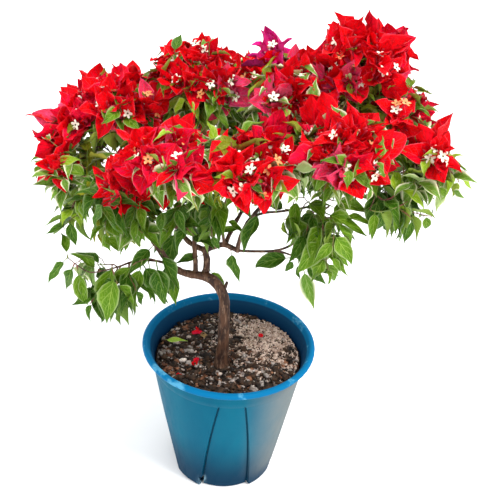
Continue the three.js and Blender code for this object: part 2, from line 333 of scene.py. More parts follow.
def baked_in(thing):
    """Gives an object the mesh that its modifiers make, and takes the modifiers off."""
    bpy.context.view_layer.update()
    graph = bpy.context.evaluated_depsgraph_get()
    mesh = bpy.data.meshes.new_from_object(thing.evaluated_get(graph), preserve_all_data_layers=True,
                                           depsgraph=graph)
    thing.modifiers.clear()
    thing.data = mesh
    return mesh


cutting = pot.modifiers.new("slots", "BOOLEAN")
cutting.object = slot_punch
cutting.operation = "DIFFERENCE"
cutting.solver = "EXACT"
pot_mesh = baked_in(pot)
bpy.data.objects.remove(slot_punch)
# Painted highlight: a mark that fades out upwards and outwards from the foot of each drain slot, where pale
# flecks are painted.
scar = pot_mesh.attributes.new("scar", "FLOAT", "POINT")
first_slot_turn = panel_turn - panel_foot_span + slot_inset
slot_turns = [math.radians(first_slot_turn + panel * quarter) for panel in range(panels)]
slot_feet = [Vector((math.sin(turn), -math.cos(turn), 0)) * (base_radius - 1 * mm) for turn in slot_turns]
slot_glint_reach = 9 * mm
slot_glint_top = 30 * mm
slot_glint_fade = 16 * mm
for vert in pot_mesh.vertices:
    near = min(math.hypot(*(vert.co - foot).xy) for foot in slot_feet)
    low = min(max((slot_glint_top - vert.co.z) / slot_glint_fade, 0), 1)
    scar.data[vert.index].value = low * max(0, 1 - near / slot_glint_reach)
pot_mesh.shade_smooth()
pot_mesh.set_sharp_from_angle(angle=math.radians(38))


def marked(tree, name):
    """A mark that the mesh itself carries."""
    return put(tree, "ShaderNodeAttribute", attribute_name=name).outputs["Fac"]


plastic, tree, shader = finish("teal_plastic", Roughness=0.42, Specular_IOR_Level=0.03)
place = put(tree, "ShaderNodeTexCoord").outputs["Object"]
x, y, z = put(tree, "ShaderNodeSeparateXYZ", {0: place}).outputs
broad, broad_height = mottled(tree, 14.0, 0.35, 0.65, (1.0, 1.0, 0.35))
fine, fine_height = mottled(tree, 160.0, 0.4, 0.7, (1.0, 1.0, 0.3))
body = tint(tree, broad, "04556f", "085f77")
# Painted shade: the outer wall darkens towards its foot, from 96 mm down to 10 mm.
body = tint(tree, rise(tree, z, 96 * mm, 10 * mm), body, "002c46", 0.96)
# The right front of the wall, and a narrow band at its far left, turn a paler grey in broad patches, less
# towards the foot, and are rougher there.
paler_wash = work(tree, "MULTIPLY", rise(tree, x, 18 * mm, 78 * mm), rise(tree, broad_height, 0.2, 0.5))
paler_wash = work(tree, "MULTIPLY", paler_wash, rise(tree, y, 60 * mm, 5 * mm))
patchy = work(tree, "MULTIPLY", mottled(tree, 34.0, 0.35, 0.65)[0], 0.14)
paler_wash = work(tree, "MULTIPLY", paler_wash, work(tree, "ADD", patchy, 0.9))
paler_wash_left = work(tree, "MULTIPLY", rise(tree, x, -82 * mm, -98 * mm), 0.4)
paler_wash = work(tree, "MULTIPLY", work(tree, "MAXIMUM", paler_wash, paler_wash_left), rise(tree, z, 2 * mm, 30 * mm))
body = tint(tree, paler_wash, body, "727878")
# Painted highlight: pale flecks about the foot of each drain slot.
slot_glint_mask = work(tree, "MULTIPLY", rise(tree, marked(tree, "scar"), 0.15, 0.6), fine)
body = tint(tree, slot_glint_mask, body, "8fb4c4", 0.8)
# Painted shade: the floors of the grooves are darker.
body = tint(tree, rise(tree, marked(tree, "groove"), 0.35, 0.9), body, "05374f", 0.75)
# Painted glints: pale patches on the lip, outside and in.
lip_tone_and_glints = tint(tree, mottled(tree, 42.0, 0.56, 0.68)[0], "086898", "6ab6d6", 0.55)
body = tint(tree, rise(tree, z, 170.5 * mm, 172.5 * mm), body, lip_tone_and_glints)
# Painted shade: the inside of the wall is a darker blue than the outside, darkest below 150 mm and lighter
# towards the lip.
inner = tint(tree, rise(tree, z, 150 * mm, 176 * mm), "0a2c50", "123e5e")
inner = tint(tree, rise(tree, z, 176.0 * mm, 178.5 * mm), inner, lip_tone_and_glints)
tone = tint(tree, rise(tree, marked(tree, "inner"), 0.3, 0.7), body, inner)
paler_wash_roughness = work(tree, "MULTIPLY", paler_wash, 0.3)
paint(tree, shader, tone, work(tree, "ADD", scaled(tree, fine, 0.12, 0.36), paler_wash_roughness))
bump(tree, shader, fine_height, 0.12 * mm, 0.4)
pot_mesh.materials.clear()
pot_mesh.materials.append(plastic)


def hand_over(piece, slot, *nodes):
    """Hides the solids that a piece stands in for, and puts it in the one body. The slot, what it is made of,
    is not used.
    """
    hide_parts(*nodes)
    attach(piece, "root")


hand_over(pot, "pot_plastic", "pot")

# Potting mix: a plug of bark and peat that fills the pot to 23 mm under its lip. It is poured in
# and settles into an uneven, slightly domed top.
dice = np.random.default_rng(20)
full_turn = 6.283
soil_radius = 84.6 * mm
soil_foot_radius = 54 * mm
soil_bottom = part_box("soil")[0].z + 0.4 * mm
soil_edge = 157.5 * mm


def solid_tree(name):
    """A search tree over the faces of one of the frame's solids."""
    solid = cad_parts[name].data
    return BVHTree.FromPolygons([corner.co for corner in solid.vertices],
                                [tuple(face.vertices) for face in solid.polygons])


soil_tree = solid_tree("soil")


def soil_top(x, y):
    """Height of the settled mix at a place, in metres."""
    hit = soil_tree.ray_cast(Vector((x, y, 0.3)), Vector((0, 0, -1)))[0]
    level = hit.z if hit else soil_edge
    return min(max(level, soil_edge - 1.5 * mm), soil_edge + 5 * mm)


plug = bmesh.new()
rings = 34
outline = [plug.verts.new((soil_radius * (rings - i) / rings, 0, soil_edge)) for i in range(rings + 1)][::-1]
outline += [plug.verts.new((radius, 0, soil_bottom)) for radius in (soil_foot_radius, 0)]
outline_edges = [plug.edges.new(pair) for pair in zip(outline, outline[1:])]
bmesh.ops.spin(plug, geom=outline + outline_edges, steps=110, **turned_about_z)
bmesh.ops.remove_doubles(plug, verts=plug.verts, dist=weld)
bmesh.ops.recalc_face_normals(plug, faces=plug.faces)
for vert in plug.verts:
    if vert.co.z > soil_edge - 1 * mm:
        clods = noise.fractal(vert.co * 95, 0.9, 2.1, 4)
        vert.co.z = soil_top(vert.co.x, vert.co.y) - 1.4 * mm + 1.5 * mm * clods
mix_mesh = mesh_from(plug, "potting_mix")
mix_mesh.shade_smooth()
peat, tree, shader = finish("peat", Specular_IOR_Level=0.25)
fine, fine_height = mottled(tree, 520.0, 0.45, 0.6)
tone = tint(tree, mottled(tree, 120.0, 0.38, 0.62)[0], "1a100c", "3e2c1e")
tone = tint(tree, fine, tone, "7b675c", 0.35)
paint(tree, shader, tone, scaled(tree, fine, 0.2, 0.75))
bump(tree, shader, fine_height, 1.2 * mm)
potting_mix = model("potting_mix", mix_mesh, peat)

# Bark chips, grit and pebbles lie loose on the mix. Composted pine bark is the bulk of it, with
# crushed granite grit. Pale grit is gathered thickly at the back right: partly grit, partly painted sunlight
# on the mix there.


def shape_arrays(made):
    """The corners and triangles of a small bmesh shape, which is then freed."""
    bmesh.ops.triangulate(made, faces=made.faces)
    bmesh.ops.recalc_face_normals(made, faces=made.faces)
    made.verts.index_update()
    corners = np.array([vert.co for vert in made.verts], np.float32)
    faces = np.array([[vert.index for vert in face.verts] for face in made.faces], np.int32)
    made.free()
    return corners, faces


def chip_shape(seed):
    """A splinter of bark: a flat block with its corners worn and pushed about."""
    made = bmesh.new()
    bmesh.ops.create_cube(made, size=1)
    long_edges = [edge for edge in made.edges if abs(edge.verts[0].co.x - edge.verts[1].co.x) > 0.5]
    bmesh.ops.subdivide_edges(made, edges=long_edges, cuts=1)
    for vert in made.verts:
        push = noise.noise_vector(vert.co * 1.7 + Vector((seed * 9.1, 0, 3.3)))
        vert.co += push * 0.34
        vert.co.z -= 0.3 * vert.co.x * vert.co.x
    return shape_arrays(made)


def stone_shape(seed):
    """A crushed grain with a few uneven faces."""
    made = bmesh.new()
    bmesh.ops.create_icosphere(made, subdivisions=1, radius=0.5)
    for vert in made.verts:
        vert.co *= 1 + 0.5 * noise.noise(vert.co * 2.2 + Vector((seed * 5.3, 1, 0)))
    return shape_arrays(made)


def turns(spin, tilt, heading):
    """Turning matrices: a spin about Z, then a tilt towards a heading."""
    def about(axis, angle):
        cos, sin, none, one = np.cos(angle), np.sin(angle), np.zeros_like(angle), np.ones_like(angle)
        about_z = [cos, -sin, none, sin, cos, none, none, none, one]
        about_y = [cos, none, sin, none, one, none, -sin, none, cos]
        return np.stack(about_z if axis == "Z" else about_y, -1).reshape(-1, 3, 3)
    return about("Z", heading) @ about("Y", tilt) @ about("Z", spin - heading)


def mesh_of(name, corners, faces):
    """A mesh from arrays of corners and of equal-sided faces."""
    sides = faces.shape[1]
    mesh = bpy.data.meshes.new(name)
    mesh.vertices.add(len(corners))
    mesh.vertices.foreach_set("co", np.ascontiguousarray(corners, np.float32).ravel())
    mesh.loops.add(faces.size)
    mesh.loops.foreach_set("vertex_index", np.ascontiguousarray(faces, np.int32).ravel())
    mesh.polygons.add(len(faces))
    mesh.polygons.foreach_set("loop_start", np.arange(len(faces), dtype=np.int32) * sides)
    mesh.update(calc_edges=True)
    return mesh


def joined(name, shapes, picks, scales, rotations, places):
    """One mesh of many copies. Copy i is shapes[picks[i]], scaled, turned and placed."""
    corners, faces, first = [], [], 0
    for k, (shape, triangles) in enumerate(shapes):
        mine = np.flatnonzero(picks == k)
        if not len(mine):
            continue
        sized = shape[None] * scales[mine][:, None]
        turned = np.einsum("nij,nvj->nvi", rotations[mine], sized) + places[mine][:, None]
        starts = first + np.arange(len(mine)) * len(shape)
        corners.append(turned.reshape(-1, 3))
        faces.append((triangles[None] + starts[:, None, None]).reshape(-1, 3))
        first += turned.shape[0] * turned.shape[1]
    return mesh_of(name, np.concatenate(corners), np.concatenate(faces))


ground_reach = 82 * mm
# Middle and reach of the patch of pale grit at the back right, which paints sunlight on the mix.
sunlit_patch_at = np.array([46, 34]) * mm
sunlit_patch_reach = 50 * mm
trunk_foot = np.array([-6.4, -23.5]) * mm
trunk_room = 9 * mm


def strewn(count):
    """Places all over the top of the mix, few of them in the patch of pale grit at the back right."""
    out = ground_reach * np.sqrt(dice.random(count))
    way = dice.random(count) * 2 * math.pi
    spots = np.stack([out * np.cos(way), out * np.sin(way)], 1)
    covered = np.exp(-(np.hypot(*(spots - sunlit_patch_at).T) / sunlit_patch_reach) ** 4)
    return spots[dice.random(count) > 0.9 * covered]


def gathered(count, spread):
    """Places gathered about the middle of the patch of pale grit, whose paleness is painted sunlight."""
    around = sunlit_patch_at + dice.normal(0, spread, (count * 3, 2))
    return around[np.hypot(*around.T) < ground_reach][:count]


def lay_down(name, shapes, spots, sizes, flatness, lift, slack, material):
    """Lays loose bits on the mix, each turned its own way and half sunk into what lies under it."""
    spots = spots[np.hypot(*(spots - trunk_foot).T) > trunk_room]
    count = len(spots)
    least, most = sizes
    grown = least + (most - least) * dice.random(count) ** 1.8
    room = wall_radius(soil_edge) - wall - 1 * mm - 0.95 * grown
    spots = spots * np.minimum(1, room / np.hypot(*spots.T))[:, None]
    scales = grown[:, None] * np.stack([0.8 + 0.7 * dice.random(count), 0.5 + 0.4 * dice.random(count),
                                        flatness * (0.7 + 0.6 * dice.random(count))], 1)
    turned = turns(dice.random(count) * full_turn, slack * dice.random(count) ** 1.5,
                   dice.random(count) * full_turn)
    ground = np.array([soil_top(*spot) for spot in spots])
    places = np.column_stack([spots, ground + lift * grown * (dice.random(count) - 0.2)])
    mesh = joined(name, shapes, dice.integers(0, len(shapes), count), scales, turned, places)
    hand_over(model(name, mesh, material), "potting_mix", "soil")


def bit_finish(name, dark, light, scale):
    """Weathered bark or stone: its tone changes from bit to bit and is streaked within one."""
    material, tree, shader = finish(name, Specular_IOR_Level=0.3)
    streak, streak_height = mottled(tree, scale * 5, 0.42, 0.66)
    tone = tint(tree, mottled(tree, scale, 0.4, 0.6)[0], dark, light)
    paint(tree, shader, tint(tree, streak, tone, dark, 0.5), scaled(tree, streak, 0.15, 0.7))
    bump(tree, shader, streak_height, 0.5 * mm, 0.7)
    return material


# The noise that pushes the corners of the chips about is seeded, so that it is the same each run.
noise.seed_set(5)
chips = [chip_shape(seed) for seed in range(7)]
stones = [stone_shape(seed) for seed in range(6)]
# Sorts of bits: name, shapes, how many, the spread of those that are gathered, least and greatest
# size, flatness, how proud they lie, how far they tilt, and finish. Lengths are in mm.
sorts_of_bits = (
    ("bark_chips_dark", chips, 1100, None, (3.5, 10), 0.32, 0.35, 0.9,
     ("bark_chip_dark", "160c07", "463020", 130)),
    ("bark_chips_red", chips, 340, None, (3, 8), 0.3, 0.4, 0.8,
     ("bark_chip_red", "54301f", "9a6a4e", 150)),
    ("bark_chips_grey", chips, 330, None, (2.5, 8), 0.28, 0.5, 0.7,
     ("bark_chip_grey", "6a5e58", "b8aca6", 150)),
    ("grit_grey", stones, 1400, None, (1.2, 3), 0.8, 0.9, 1.2,
     ("grit_stone_grey", "6a605a", "c4b8b0", 260)),
    ("grit_pale", stones, 7600, 31, (1.4, 3.6), 0.7, 0.8, 1.2,
     ("grit_stone_pale", "a08474", "e8d2c4", 240)),
    ("grit_dark", stones, 1800, 33, (1.4, 3.6), 0.7, 0.8, 1.2,
     ("grit_stone_dark", "3a2c26", "6e564a", 240)),
    ("pebbles", stones, 50, None, (3.5, 7.5), 0.6, 0.7, 0.5,
     ("pebble_stone", "a8948a", "f0e2d6", 140)),
)
for name, shapes, count, spread, sizes, flatness, lift, slack, look in sorts_of_bits:
    spots = gathered(count, spread * mm) if spread else strewn(count)
    lay_down(name, shapes, spots, np.array(sizes) * mm, flatness, lift, slack, bit_finish(*look))
hand_over(potting_mix, "potting_mix", "soil")

# Trunk and boughs: one woody stem, pruned low and trained, that leans left at its fork, and the
# boughs that it carries. The bark is grey brown with long shallow fissures and raised nodes.
# Limbs: radius at the root and at the tip, and the points that each goes through, in mm.
limbs = [
    ("trunk", 6.9, 5.4, [(-6.4, -24, 157.9), (-6.2, -22, 190), (-6.4, -20, 222), (-8.5, -18, 250),
                         (-19, -15, 265), (-33, -12, 271)]),
    ("bough_left", 4.6, 1.8, [(-27, -13, 269.5), (-46, -14, 272), (-58, -16, 276), (-68, -18, 286),
                              (-80, -21, 306), (-96, -22, 334), (-106, -20, 352)]),
    ("bough_low_left", 1.5, 1.0, [(-66, -18, 284), (-82, -24, 291), (-100, -32, 294),
                                  (-118, -39, 289)]),
    ("bough_upright", 4.0, 3.4, [(-30, -11.5, 267), (-29, -8, 279), (-29.5, -5, 288),
                                 (-32.5, -2, 298)]),
    ("bough_crossing", 2.7, 1.3, [(-40, -13, 271), (-41, -10, 284), (-43, -4, 304), (-46, 6, 334),
                                  (-46, 15, 366), (-45, 22, 402), (-46, 24, 442)]),
    ("bough_mid_left", 3.0, 1.5, [(-30, -3, 296), (-42, 3, 297), (-54, 11, 301), (-70, 26, 316),
                                  (-84, 44, 344), (-91, 66, 384)]),
    ("bough_mid_right", 3.2, 2.6, [(-33, -2, 296), (-22, -6, 303), (-11, -10, 308.5), (4, -14, 305)]),
    ("bough_centre", 1.6, 1.2, [(-11, -10, 308), (-14, -16, 334), (-15.5, -18, 346), (-12, -22, 359),
                                (-9, -28, 378), (-10, -38, 402), (-14, -50, 418)]),
    ("bough_rising", 2.3, 1.3, [(3, -14, 304), (5.5, -16, 322), (10.5, -18, 337), (17, -20, 350),
                                (29, -24, 369), (43, -38, 392), (60, -58, 428)]),
    ("bough_thin_right", 1.4, 1.0, [(16, -19.6, 348), (28, -21, 354), (46, -20, 357), (74, -18, 364),
                                    (104, -18, 382)]),
    ("bough_low_right", 1.5, 1.1, [(2, -14, 305), (17, -14, 305), (45, -12, 307.5), (62, -10, 317),
                                   (68, -8, 332), (77, -10, 346), (92, -20, 366)]),
    ("bough_low_spray", 1.2, 0.8, [(45, -12, 307), (55, -10, 303.5), (66, -8, 298.5),
                                   (76, -6.5, 292)]),
    ("bough_back", 2.4, 1.3, [(-10, -9, 309), (-4, 6, 320), (10, 34, 342), (26, 66, 372),
                              (34, 92, 402)]),
]
ring_step = 2.2 * mm
flare_swell = 2.8 * mm
flare_length = 9 * mm
collar_swell = 0.35
collar_length = 3.5 * mm
node_spacing = 15 * mm
node_reach = 1.9 * mm


def smooth_run(points, step):
    """Even points along a smooth line through the given ones."""
    held = np.vstack([2 * points[0] - points[1], points, 2 * points[-1] - points[-2]])
    dense = []
    share = np.linspace(0, 1, 20, endpoint=False)[:, None]
    for before, here, ahead, beyond in zip(held, held[1:], held[2:], held[3:]):
        dense.append(0.5 * (2 * here + (ahead - before) * share
                            + (2 * before - 5 * here + 4 * ahead - beyond) * share ** 2
                            + (3 * here - before - 3 * ahead + beyond) * share ** 3))
    dense = np.vstack(dense + [points[-1:]])
    along = np.concatenate([[0], np.cumsum(np.linalg.norm(np.diff(dense, axis=0), axis=1))])
    even = np.linspace(0, along[-1], max(3, round(along[-1] / step) + 1))
    return np.stack([np.interp(even, along, dense[:, axis]) for axis in range(3)], 1), even


def bark_swell(name, turn, along, radius, seed):
    """Radius of a limb with its bark, at a turn about it and a distance from its root."""
    east, north = math.cos(turn), math.sin(turn)
    ridge = noise.fractal(Vector((east * 1.9, north * 1.9, along / mm * 0.07 + seed * 7)), 0.8, 2.2, 3)
    fissure = noise.noise(Vector((east * 5, north * 5, along / mm * 0.05 + seed * 3)))
    nearest = abs((along / node_spacing + seed * 0.37) % 1 - 0.5) * node_spacing
    one_side = 0.5 + 0.5 * math.cos(turn - seed * 2.4 - along / mm * 0.21)
    knob = math.exp(-(nearest / node_reach) ** 2) * one_side
    swell = 1 + 0.10 * ridge + 0.20 * knob - (0.09 if fissure > 0.22 else 0)
    if name == "trunk":
        rooted = math.exp(-max(0, along - 1 * mm) / flare_length)
        return radius * (swell - 0.10 * knob) + flare_swell * rooted * (1 + 0.5 * math.cos(3 * turn + 0.7))
    return radius * swell


runs = {}
wood = bmesh.new()
for seed, (name, root, tip, through) in enumerate(limbs):
    sides = 18 if root > 3.5 else 12
    centres, along = smooth_run(np.array(through) * mm, ring_step)
    tangents = np.gradient(centres, axis=0)
    tangents /= np.linalg.norm(tangents, axis=1)[:, None]
    radii = (root + (tip - root) * along / along[-1]) * mm
    if name != "trunk":
        radii = radii * (1 + collar_swell * np.exp(-along / collar_length))
    runs[name] = (centres, tangents, radii)
    across = Vector(tangents[0]).orthogonal().normalized()
    ring = bmesh.ops.create_circle(wood, segments=sides, radius=1, cap_ends=True)["verts"]
    for i, (centre, tangent, radius) in enumerate(zip(centres, tangents, radii)):
        forward = Vector(tangent)
        across = (across - forward * across.dot(forward)).normalized()
        over = forward.cross(across)
        if i:
            edges = [wood.edges.get(pair) for pair in zip(ring, ring[1:] + ring[:1])]
            made = bmesh.ops.extrude_edge_only(wood, edges=edges)["geom"]
            raised = {tuple(vert.co): vert for vert in made if isinstance(vert, bmesh.types.BMVert)}
            ring = [raised[tuple(vert.co)] for vert in ring]
        for k, vert in enumerate(ring):
            turn = 2 * math.pi * k / sides
            reach = bark_swell(name, turn, along[i], radius, seed)
            vert.co = Vector(centre) + (across * math.cos(turn) + over * math.sin(turn)) * reach
    bmesh.ops.contextual_create(wood, geom=ring)

# The scar of pruning on the stem: a dead stub left by the saw.
stub_foot = Vector((-9.0, -17.5, 255.0)) * mm
stub_tip = Vector((-5.4, -17.8, 267.5)) * mm
stub = bmesh.ops.create_cone(wood, cap_ends=True, segments=10, radius1=2.3 * mm, radius2=1.5 * mm,
                             depth=(stub_tip - stub_foot).length)["verts"]
stand = (stub_tip - stub_foot).to_track_quat("Z", "Y").to_matrix()
bmesh.ops.rotate(wood, cent=(0, 0, 0), matrix=stand, verts=stub)
bmesh.ops.translate(wood, vec=(stub_foot + stub_tip) / 2, verts=stub)
bmesh.ops.recalc_face_normals(wood, faces=wood.faces)
wood_mesh = mesh_from(wood, "trunk_and_boughs")
wood_mesh.shade_smooth()
wood_mesh.set_sharp_from_angle(angle=math.radians(60))


def bark_finish(name, dark, mid, pale, scale):
    """Bark: streaks along the limb, warm in the fissures, with pale dry ridges."""
    material, tree, shader = finish(name, Specular_IOR_Level=0.3)
    fleck, fleck_height = mottled(tree, scale * 2.0, 0.5, 0.68, (1.0, 1.0, 0.2))
    tone = tint(tree, mottled(tree, scale, 0.38, 0.62, (1.0, 1.0, 0.22))[0], dark, mid)
    paint(tree, shader, tint(tree, fleck, tone, pale, 0.6), scaled(tree, fleck, 0.2, 0.62))
    bump(tree, shader, fleck_height, 0.6 * mm, 0.8)
    return material


old_bark = bark_finish("bark_grey_brown", "2c180f", "583a28", "987862", 190)
hand_over(model("trunk_and_boughs", wood_mesh, old_bark), "bark", *[name for name, *_ in limbs])

# Twigs: thin woody growth that leaves the boughs inside the crown and forks its way to every
# shoot. Each fork is as thick as what it carries. Each mass, shoot and triad draws from seeds of
# its own, so that a change to one leaves the others as they are.
crown_seed = 11
mass_names = sorted(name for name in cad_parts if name.startswith("mass_"))
mass_trees = {name: solid_tree(name) for name in mass_names}
ray = Vector((0.31, 0.23, 0.92)).normalized()
past_hit = 1e-6
neighbour_room = 9 * mm


def within(name, point):
    """Whether a point is in a mass: a ray out of it meets the closed solid an odd number of times."""
    start = Vector(point)
    met = 0
    while True:
        hit = mass_trees[name].ray_cast(start, ray)[0]
        if hit is None:
            return met % 2 == 1
        met += 1
        start = hit + ray * past_hit


def unit(vectors):
    """The same ways, each of length one."""
    return vectors / np.linalg.norm(vectors, axis=-1, keepdims=True)


def shoot_ends(name, spacing, depths, exposed, tries=900):
    """Places for shoot tips in a mass, with the way out. Their spacing and depths are in mm."""
    low, high = (np.array(corner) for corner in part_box(name))
    found = []
    for point in low + seeds.random((tries, 3)) * (high - low):
        if not within(name, point):
            continue
        skin, _, _, depth = mass_trees[name].find_nearest(Vector(point))
        if not depths[0] * mm <= depth <= depths[1] * mm:
            continue
        way = (np.array(skin) - point) / depth
        past = Vector(point + way * (depth + neighbour_room))
        if exposed and any(within(other, past) for other in mass_names if other != name):
            continue
        if all(np.linalg.norm(point - other) > spacing * mm for other, _ in found):
            found.append((point, way))
    return found


# Habit of each kind of mass: how far apart its flowering shoots, its inner leafy shoots and the
# leafy shoots that stand out through the flowers are, in mm, how often a flowering place does
# flower, how much the shoots rise or hang, how often a floret is open, and its longest leaf, in mm.
Habit = namedtuple("Habit", "bloom_gap inner_gap outer_gap flowering lift open_chance longest_leaf")
habits = {
    "top_left": Habit(18, 28, 24, 0.95, 0.3, 0.22, 36),
    "top_middle": Habit(19, 28, 25, 0.86, 0.35, 0.22, 36),
    "top_right": Habit(18, 34, 60, 1.0, 0.5, 0.25, 32),
    "shoulder_left": Habit(18, 30, 70, 1.0, 0.35, 0.22, 34),
    "shoulder_right": Habit(20, 28, 38, 0.95, 0.35, 0.22, 34),
    "front_left": Habit(18, 28, 33, 0.95, 0.35, 0.25, 36),
    "front_centre": Habit(20, 26, 27, 0.82, 0.35, 0.3, 36),
    "front_right": Habit(18, 28, 28, 0.9, 0.35, 0.22, 36),
    "tip_left": Habit(22, 26, 34, 0.6, 0.15, 0.2, 36),
    "tip_right": Habit(25, 30, 38, 0.42, 0.1, 0.2, 40),
    "back": Habit(21, 28, 40, 0.8, 0.35, 0.25, 38),
    "low": Habit(24, 25, 31, 0.46, -0.05, 0.1, 42),
    "hanging": Habit(60, 34, 60, 0.0, -0.5, 0.0, 46),
    "hanging_left": Habit(60, 44, 60, 0.0, -0.5, 0.0, 56),
    "hanging_back": Habit(34, 26, 60, 0.15, -0.35, 0.2, 42),
    "heart": Habit(60, 30, 34, 0.0, 0.3, 0.0, 38),
}


def habit_of(name):
    """The habit with the longest name that the mass's own name starts with."""
    kind = name.removeprefix("mass_")
    return habits[max((habit for habit in habits if kind.startswith(habit)), key=len)]


# Trailers: thin shoots that go on from the tips of two low boughs and hang free, by their points
# in mm.
trailers = {
    "trailer_left": [(-118, -39, 289), (-132, -43, 286), (-146, -45, 284), (-158, -46, 292),
                     (-167, -46, 300)],
    "trailer_inner": [(-68, -18, 286), (-74, -28, 292), (-86, -36, 300), (-98, -42, 298)],
}
for name, through in trailers.items():
    centres, along = smooth_run(np.array(through, float) * mm, 3 * mm)
    runs[name] = (centres, unit(np.gradient(centres, axis=0)), np.linspace(0.9, 0.5, len(centres)) * mm)

# Where twigs may leave each bough: from this share of its length on.
twigs_from = {
    "bough_left": 0.45, "bough_low_left": 0.35, "bough_crossing": 0.5, "bough_mid_left": 0.45,
    "bough_mid_right": 0.7, "bough_centre": 0.4, "bough_rising": 0.45, "bough_thin_right": 0.4,
    "bough_low_right": 0.6, "bough_low_spray": 0.35, "bough_back": 0.4,
}
twig_at, twig_way, twig_from = [], [], []
for name, share in twigs_from.items():
    centres, tangents, _ = runs[name]
    for i in range(int(len(centres) * share), len(centres), 3):
        twig_at.append(centres[i])
        twig_way.append(tangents[i])
        twig_from.append(-1)
bough_nodes = np.array(twig_at)

# Leaders: flowering shoots that reach out past the rest, by mass, tip in mm, way out and, where it
# is one of the odd ones, tint.
leaders = (
    ("mass_top_middle", (26, 18, 504), (0.1, -0.4, 1.0), "magenta"),
    ("mass_top_right", (118, 26, 520), (-0.1, -0.2, 1.0), None),
    ("mass_top_right", (140, 26, 515), (0.4, -0.2, 1.0), None),
    ("mass_low_left", (-100, -66, 388), (-0.1, -1.0, 0.3), None),
    ("mass_low_left", (-62, -62, 394), (0.2, -1.0, 0.3), None),
    ("mass_front_centre", (24, -130, 432), (0.1, -1.0, 0.0), None),
    ("mass_front_centre", (2, -126, 428), (-0.3, -1.0, 0.0), None),
    ("mass_shoulder_left", (-176, -10, 430), (-1.0, -0.2, 0.2), None),
    ("mass_shoulder_left", (-172, -16, 416), (-1.0, -0.5, 0.0), None),
)

# Depths under a mass's skin and lengths of the three sorts of shoot, in mm. The low spray carries
# only the spurs of its own bough, further down.
bloom_depths = (11, 24)
inner_depths = (6, 30)
outer_depths = (1, 7)
shoot_lengths = {"bloom": (24, 40), "leafy": (30, 52), "outer": (30, 52)}
shoots = []
for order, name in enumerate(mass_names):
    if name == "mass_low_spray":
        continue
    seeds = np.random.default_rng([crown_seed, order])
    habit = habit_of(name)
    places = []
    for tip, way in shoot_ends(name, habit.bloom_gap, bloom_depths, True):
        flowers = way[2] > -0.45 and seeds.random() < habit.flowering
        places.append((tip, way, "bloom" if flowers else "leafy", None))
    inner = shoot_ends(name, habit.inner_gap, inner_depths, False, 700)
    outer = shoot_ends(name, habit.outer_gap, outer_depths, True, 1500)
    places += [(tip, way, "leafy", None) for tip, way in inner]
    places += [(tip, way, "outer", None) for tip, way in outer]
    places += [(np.array(tip) * mm, unit(np.array(way)), "bloom", own)
               for where, tip, way, own in leaders if where == name]
    for tip, way, sort, own in places:
        aim = unit(way + np.array([0, 0, habit.lift]) + seeds.normal(0, 0.22, 3))
        near = bough_nodes[np.argmin(np.linalg.norm(bough_nodes - tip, axis=1))]
        come = unit(tip - near + 1e-6)
        length = seeds.uniform(*shoot_lengths[sort]) * mm
        length = min(length, 0.75 * np.linalg.norm(tip - near) + 6 * mm)
        base = tip - length * unit(0.55 * aim + 0.5 * come)
        shoots.append({"mass": name, "tip": tip, "aim": aim, "base": base, "sort": sort, "tint": own,
                       "seed": int(seeds.integers(1 << 30))})


def curve_between(start, start_way, end, end_way, steps):
    """Points of a smooth line between two places, leaving and reaching them on given ways."""
    reach = np.linalg.norm(end - start) * 0.36
    share = np.linspace(0, 1, steps + 1)[:, None]
    rest = 1 - share
    after, before = start + start_way * reach, end - end_way * reach
    first_half = rest ** 3 * start + 3 * rest ** 2 * share * after
    return first_half + 3 * rest * share ** 2 * before + share ** 3 * end


shoots.sort(key=lambda shoot: np.min(np.linalg.norm(bough_nodes - shoot["base"], axis=1)))
twig_step = 7 * mm
tip_twig_radius = 0.5 * mm
thickest_twig_radius = 1.35 * mm
twigs = []
for shoot in shoots:
    seeds = np.random.default_rng(shoot["seed"])
    at = np.array(twig_at)
    gap = shoot["base"] - at
    far = np.linalg.norm(gap, axis=1)
    straight = np.einsum("ij,ij->i", gap, np.array(twig_way)) / np.maximum(far, 1e-6)
    start = int(np.argmin(far * (1 + 0.55 * (1 - straight)) + 2 * mm))
    steps = max(2, round(far[start] / twig_step))
    leave = unit(0.6 * np.array(twig_way[start]) + 0.7 * gap[start] / max(far[start], 1e-6))
    grow = unit(shoot["tip"] - shoot["base"])
    path = curve_between(at[start], leave, shoot["base"], grow, steps)
    path[1:-1] += seeds.normal(0, 0.5 * mm, path[1:-1].shape)
    way = unit(np.gradient(path, axis=0))
    steps_made = [start]
    for point, heading in zip(path[1:], way[1:]):
        twig_from.append(steps_made[-1])
        twig_at.append(point)
        twig_way.append(heading)
        steps_made.append(len(twig_at) - 1)
    twigs.append(steps_made)
    shoot["way"] = way[-1]

carried = np.zeros(len(twig_at))
for steps_made in twigs:
    node = steps_made[-1]
    while node >= 0:
        carried[node] += 1
        node = twig_from[node]
twig_radius = np.minimum(tip_twig_radius * np.maximum(carried, 1) ** 0.36, thickest_twig_radius)


